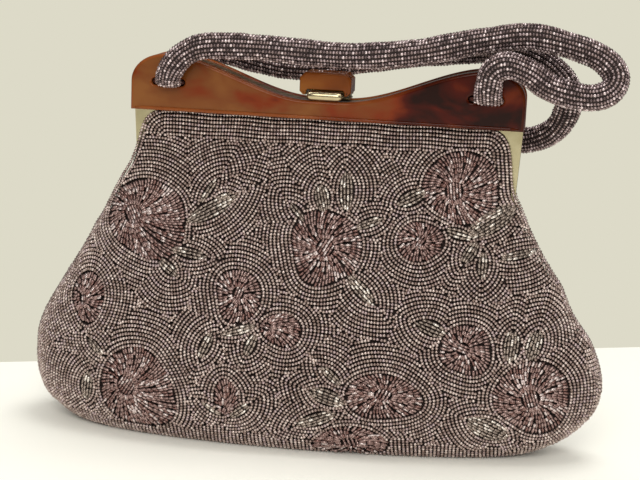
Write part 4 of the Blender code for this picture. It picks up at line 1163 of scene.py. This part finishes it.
def tortoise(name, stops, shift=(0.0, 0.0, 0.0), drift_by=(0.12, -0.12)):
    """Clouds of black, dark red and amber; paler at the left end than at the right."""
    made = material(name, "#7A2F16", 0.13, Specular_IOR_Level=0.15)
    tree = made.node_tree
    shader = tree.nodes["Principled BSDF"]
    where = add_node(tree, "ShaderNodeTexCoord").outputs["Object"]
    stretch = add_node(
        tree, "ShaderNodeMapping", [("Vector", where)], Scale=CLOUD_STRETCH, Location=shift
    )
    noise = add_node(
        tree, "ShaderNodeTexNoise", [("Vector", stretch.outputs["Vector"])],
        Scale=1 / (CLOUD_MM * MM), Detail=NOISE_DETAIL, Distortion=0.4,
    )
    axes = add_node(tree, "ShaderNodeSeparateXYZ", [("Vector", where)])
    drift = add_node(tree, "ShaderNodeMapRange", [("Value", axes.outputs["X"])])
    ends = (DRIFT_X_MM[0] * MM, DRIFT_X_MM[1] * MM, *drift_by)
    for socket, value in zip(("From Min", "From Max", "To Min", "To Max"), ends):
        drift.inputs[socket].default_value = value
    total = add_node(
        tree, "ShaderNodeMath",
        [(0, noise.outputs["Fac"]), (1, drift.outputs["Result"])], operation="ADD",
    )
    tree.links.new(ramp(tree, total.outputs["Value"], stops), shader.inputs["Base Color"])
    return made


CLOUDS = [(0.30, "#1E0703"), (0.40, "#420E04"), (0.50, "#6E290C"), (0.60, "#6D3C1C"),
          (0.74, "#794A24")]
GLOW = [(0.35, "#3A1206"), (0.5, "#662C10"), (0.68, "#7E4420")]
AMBER = [(0.3, "#54280C"), (0.5, "#6E3812"), (0.68, "#824E1C")]
clouded = tortoise("polished tortoise plastic", CLOUDS)
thin_edge = tortoise("tortoise plastic where light passes its thin edge", GLOW)
amber_block = tortoise("amber tortoise plastic", AMBER, (0.03, 0.01, 0.0), (0.0, 0.0))
print("materials so far:", len(bpy.data.materials))

# %% [markdown]
# A panel is sawn from thick sheet, its edge is rounded over and its slots are milled through.
# The rounded edge is where light comes through, so it is more amber than the face.

# %% Cut and polished plastic
PANEL_HALF_MM, PANEL_BOTTOM_MM, PANEL_FOOT_MM = 84.5, 142.0, 148.0
PANEL_DEPTHS = (4.25, 9.85)  # back and front, from the meeting plane
SHOULDER_MM, PEAK_X_MM, PEAK_MM, DIP_MM, DIP_HALF_MM = 154.5, 70.0, 166.3, 150.0, 7.0
PANEL_ROUND = 1.2
SLOT_MM = (7.4, 1.6)  # half width and half height
BACK_ROUND = 0.3
HOLD = 0.4  # a narrow flat band inside a rounded edge, so that the face shades flat
LIP_MM = (82.5, 143.0, 0.85)  # half length, height above the table and radius
LIP_SUNK = 0.15  # how deep the lip's middle line lies in the panel's face
LIP_ENDS, LIP_COUNTS = (0.2, 60, 0.02), (41, 12)


def inset(outline, distance):
    """A closed outline moved inwards: each corner along the mean of its two edges' normals."""
    edge = unit(np.roll(outline, -1, 0) - outline)
    normal = square_to(edge)
    mean = unit(normal + np.roll(normal, 1, 0))
    reach = 1 / np.maximum((mean * normal).sum(1), 0.5)
    return outline + mean * (distance * reach)[:, None]


def rounded(edge_round, back, front):
    """(inset, depth) of the rings from the back face round a rounded front edge."""
    turn = np.radians(np.arange(0, 91, 18))
    rings = [(BACK_ROUND + HOLD, back), (BACK_ROUND, back), (0.0, back + BACK_ROUND)]
    rings += [
        (edge_round * (1 - math.cos(a)), front - edge_round * (1 - math.sin(a))) for a in turn
    ]
    return rings + [(edge_round + HOLD, front)]


def slab(outline, holes, rings, hole_rings, way):
    """A cut sheet's corners and faces: rings of its edge, rings of each hole, and a flat face and
    back between them. The rounded edges have material number 1, and the rest has 0."""
    corners, walls, slots, start, loops = [], [], [], 0, []
    for line, steps in [(outline, rings)] + [(hole, hole_rings) for hole in holes]:
        count = len(line)
        for distance, depth in steps:
            flat = inset(line, distance)
            corners.append(np.stack([flat[:, 0], np.full(count, way * depth), flat[:, 1]], 1))
        quads, caps = ring_faces(len(steps), count)
        walls.append(quads + start)
        slots.append(np.full(len(quads), 1))
        slots[-1][-count:] = 0
        loops.append((caps[0][::-1] + start, caps[1] + start))
        start += len(steps) * count
    corners = np.concatenate(corners)
    faces = []
    for which in (0, 1):
        rims = [loop[which] for loop in loops]
        flat = [[Vector((*corners[i][[0, 2]], 0)) for i in rim] for rim in rims]
        triangles = np.array(tessellate_polygon(flat))
        triangles = np.concatenate(rims)[triangles]
        a, b, c = (corners[triangles[:, k]] for k in range(3))
        facing = np.cross(b - a, c - a)[:, 1] * way * (1 if which else -1)
        triangles[facing < 0] = triangles[facing < 0][:, ::-1]
        faces.append(triangles)
    walls = np.concatenate(walls)
    if way > 0:
        walls = walls[:, ::-1]
    return corners, [(walls, np.concatenate(slots)), (np.concatenate(faces), 0)]


def round_bar(size, ends, counts, way):
    """Rings of a bar along x, whose oval section shrinks at its ends. Its share of the full size
    is the square root of 1 - (x / a little more than the half length) to a power."""
    half, height, depth, tall, deep = size
    beyond, power, least = ends
    points, sides = counts
    x = np.linspace(-half, half, points)[:, None]
    swell = np.sqrt(np.clip(1 - (np.abs(x) / (half + beyond)) ** power, least, 1))
    turn = np.arange(sides) * 2 * np.pi / sides
    y = way * (depth + deep * swell * np.sin(turn))
    return np.stack([np.repeat(x, sides, 1), y, height + tall * swell * np.cos(turn)], 2)


# %% The panels
def panel_outline():
    """Bottom edge, straight ends, rounded shoulders, and a crest that eases down to a dip."""
    turn = np.linspace(0, np.pi / 2, 14)
    size = [PANEL_HALF_MM - PEAK_X_MM, PEAK_MM - SHOULDER_MM]
    shoulder = [PEAK_X_MM, SHOULDER_MM] + size * circle(turn)
    x = np.linspace(PEAK_X_MM, 0, 46)[1:]
    fall = smooth_step((x - DIP_HALF_MM) / (PEAK_X_MM - DIP_HALF_MM))
    crest = np.stack([x, DIP_MM + (PEAK_MM - DIP_MM) * fall], 1)
    foot = [[PANEL_HALF_MM, PANEL_BOTTOM_MM], [PANEL_HALF_MM, PANEL_FOOT_MM]]
    right_half = np.concatenate([foot, shoulder, crest])
    left_half = right_half[-2::-1] * [-1, 1]
    under = np.stack([np.linspace(-80, 80, 33), np.full(33, PANEL_BOTTOM_MM)], 1)
    return np.concatenate([right_half, left_half, under])


def slot_outline(x):
    """A slot with round ends, turned the other way round, as it is a hole."""
    turn = -np.linspace(0, 2 * np.pi, 33)[:-1]
    run = SLOT_MM[0] - SLOT_MM[1]
    across = x + np.sign(np.cos(turn)) * run + SLOT_MM[1] * np.cos(turn)
    return np.stack([across, SLOT_Z_MM + SLOT_MM[1] * np.sin(turn)], 1)


def panel(name, way):
    """The sheet with its two slots and the raised lip along its bottom edge."""
    back, front = PANEL_DEPTHS
    hole_rings = [(HOLD, back), (0.0, back), (0.0, front - 0.6), (0.2, front - 0.15),
                  (0.6, front), (1.0, front)]
    holes = [slot_outline(x) for x in (-SLOT_X_MM, SLOT_X_MM)]
    rings = rounded(PANEL_ROUND, back, front)
    corners, groups = slab(panel_outline(), holes, rings, hole_rings, way)
    half, height, radius = LIP_MM
    size = (half, height, front - LIP_SUNK, radius, radius)
    lip, walls, caps = tube(round_bar(size, LIP_ENDS, LIP_COUNTS, way))
    first = len(corners)
    groups += [(walls + first, 1), (caps + first, 1)]
    return build(name, np.concatenate([corners, lip]), groups, [clouded, thin_edge])


# %% The clasp's block and bar
BLOCK_MM = (11.0, 152.3, 162.0)  # half length, bottom and top
BLOCK_DEPTHS = (-4.8, 8.4)
BLOCK_ROUND = 0.8
BLOCK_CHAMFERS = (1.5, 2.4)  # at the bottom and top corners
NOTCH_MM = (8.3, 2.3)  # half width and height of the arch that the gold bar sits in
BAR_MM = (7.5, 152.1, -9.1, 1.95, 1.65)  # half length, height, depth, half height, half depth
BAR_ENDS, BAR_COUNTS = (0.05, 8, 0.03), (31, 24)


def block_outline():
    """A rectangle with cut corners and a shallow arch in its bottom edge."""
    half, low, high = BLOCK_MM
    small, large = BLOCK_CHAMFERS
    wide, tall = NOTCH_MM
    one = np.array([
        (wide, low), (half - small, low), (half, low + small), (half, high - large),
        (half - large, high),
    ])
    arch = np.array([(wide - 0.1, low + 0.7 * tall), (wide - 0.7, low + tall)])
    return np.concatenate([one, one[::-1] * [-1, 1], arch * [-1, 1], arch[::-1]])


front_panel = panel("front_tortoise_panel", -1)
rear_panel = panel("rear_tortoise_panel", 1)
block = slab(block_outline(), [], rounded(BLOCK_ROUND, *BLOCK_DEPTHS), [], -1)
block = build("clasp_amber_block", *block, [amber_block, amber_block])
bar = tube_piece("clasp_gold_bar", round_bar(BAR_MM, BAR_ENDS, BAR_COUNTS, 1), gold)
for piece, body, cad, slot in (
    (front_panel, "front_half", "front_panel", "tortoise_plastic"),
    (rear_panel, "pouch", "rear_panel", "tortoise_plastic"),
    (block, "clasp", "clasp_block", "tortoise_plastic"),
    (bar, "clasp", None, "clasp_gold"),
):
    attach(piece, body)
    if cad:
        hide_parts(cad)
for name, node in nodes.items():
    if not node.hide_render:
        node.data.materials.clear()
        node.data.materials.append(gold if name == "clasp_lever" else plated)
print("rigid pieces kept:", sum(not node.hide_render for node in nodes.values()))

# %% [markdown]
# ## Table and light
# A plain pale table ends well behind the bag. A soft light hangs over the bag, and a larger one
# fills from the front, above the camera. The room is pale, but the beads, the metal and the
# plastic mirror a darker one, so that the glints of the two lamps stand out.

# %% Table and light
TABLE_TOP = [(-1.6, -1.8, 0), (1.6, -1.8, 0), (1.6, 0.764, 0), (-1.6, -0.506, 0)]
table_mesh = bpy.data.meshes.new("table")
table_mesh.from_pydata(TABLE_TOP, [], [(0, 1, 2, 3)])
table_mesh.update()
table = add_object("table", table_mesh)
table_mesh.materials.append(
    mottled("painted table top", [(0.2, "#F8F7EE"), (0.8, "#FCFBF4")], 300.0, 0.55)
)
LAMP_AIM = Vector((0, 0, 0.08))


def lamp(name, where, size, watts, tint):
    """A square area light aimed at the middle of the bag."""
    data = bpy.data.lights.new(name, "AREA")
    data.size, data.energy, data.color = size, watts, linear(tint)[:3]
    made = add_object(name, data)
    made.location = where
    made.rotation_euler = (LAMP_AIM - Vector(where)).to_track_quat("-Z", "Y").to_euler()


lamp("soft light", (0.2, 0.1, 1.3), 0.6, 7.0, "#FFFFFC")
lamp("fill light", (0.1, -1.3, 1.0), 0.8, 10.7, "#FFFEFA")

world = bpy.data.worlds.new("pale room")
bpy.context.scene.world = world
world.use_nodes = True
room = world.node_tree
room.nodes.clear()
ray = add_node(room, "ShaderNodeLightPath")
mix, mirrored, seen = (
    add_node(room, "ShaderNodeBackground", Color=linear(tint), Strength=strength)
    for tint, strength in (("#F1EFE9", 0.8), ("#E6E2DE", 0.2), ("#DDDAC8", 1.0))
)
for kind, other in (("Is Glossy Ray", mirrored), ("Is Camera Ray", seen)):
    links = [(0, ray.outputs[kind]), (1, mix.outputs[0]), (2, other.outputs[0])]
    mix = add_node(room, "ShaderNodeMixShader", links)
add_node(room, "ShaderNodeOutputWorld", [("Surface", mix.outputs[0])])
print("table, two lamps and a room with", len(room.nodes), "nodes")
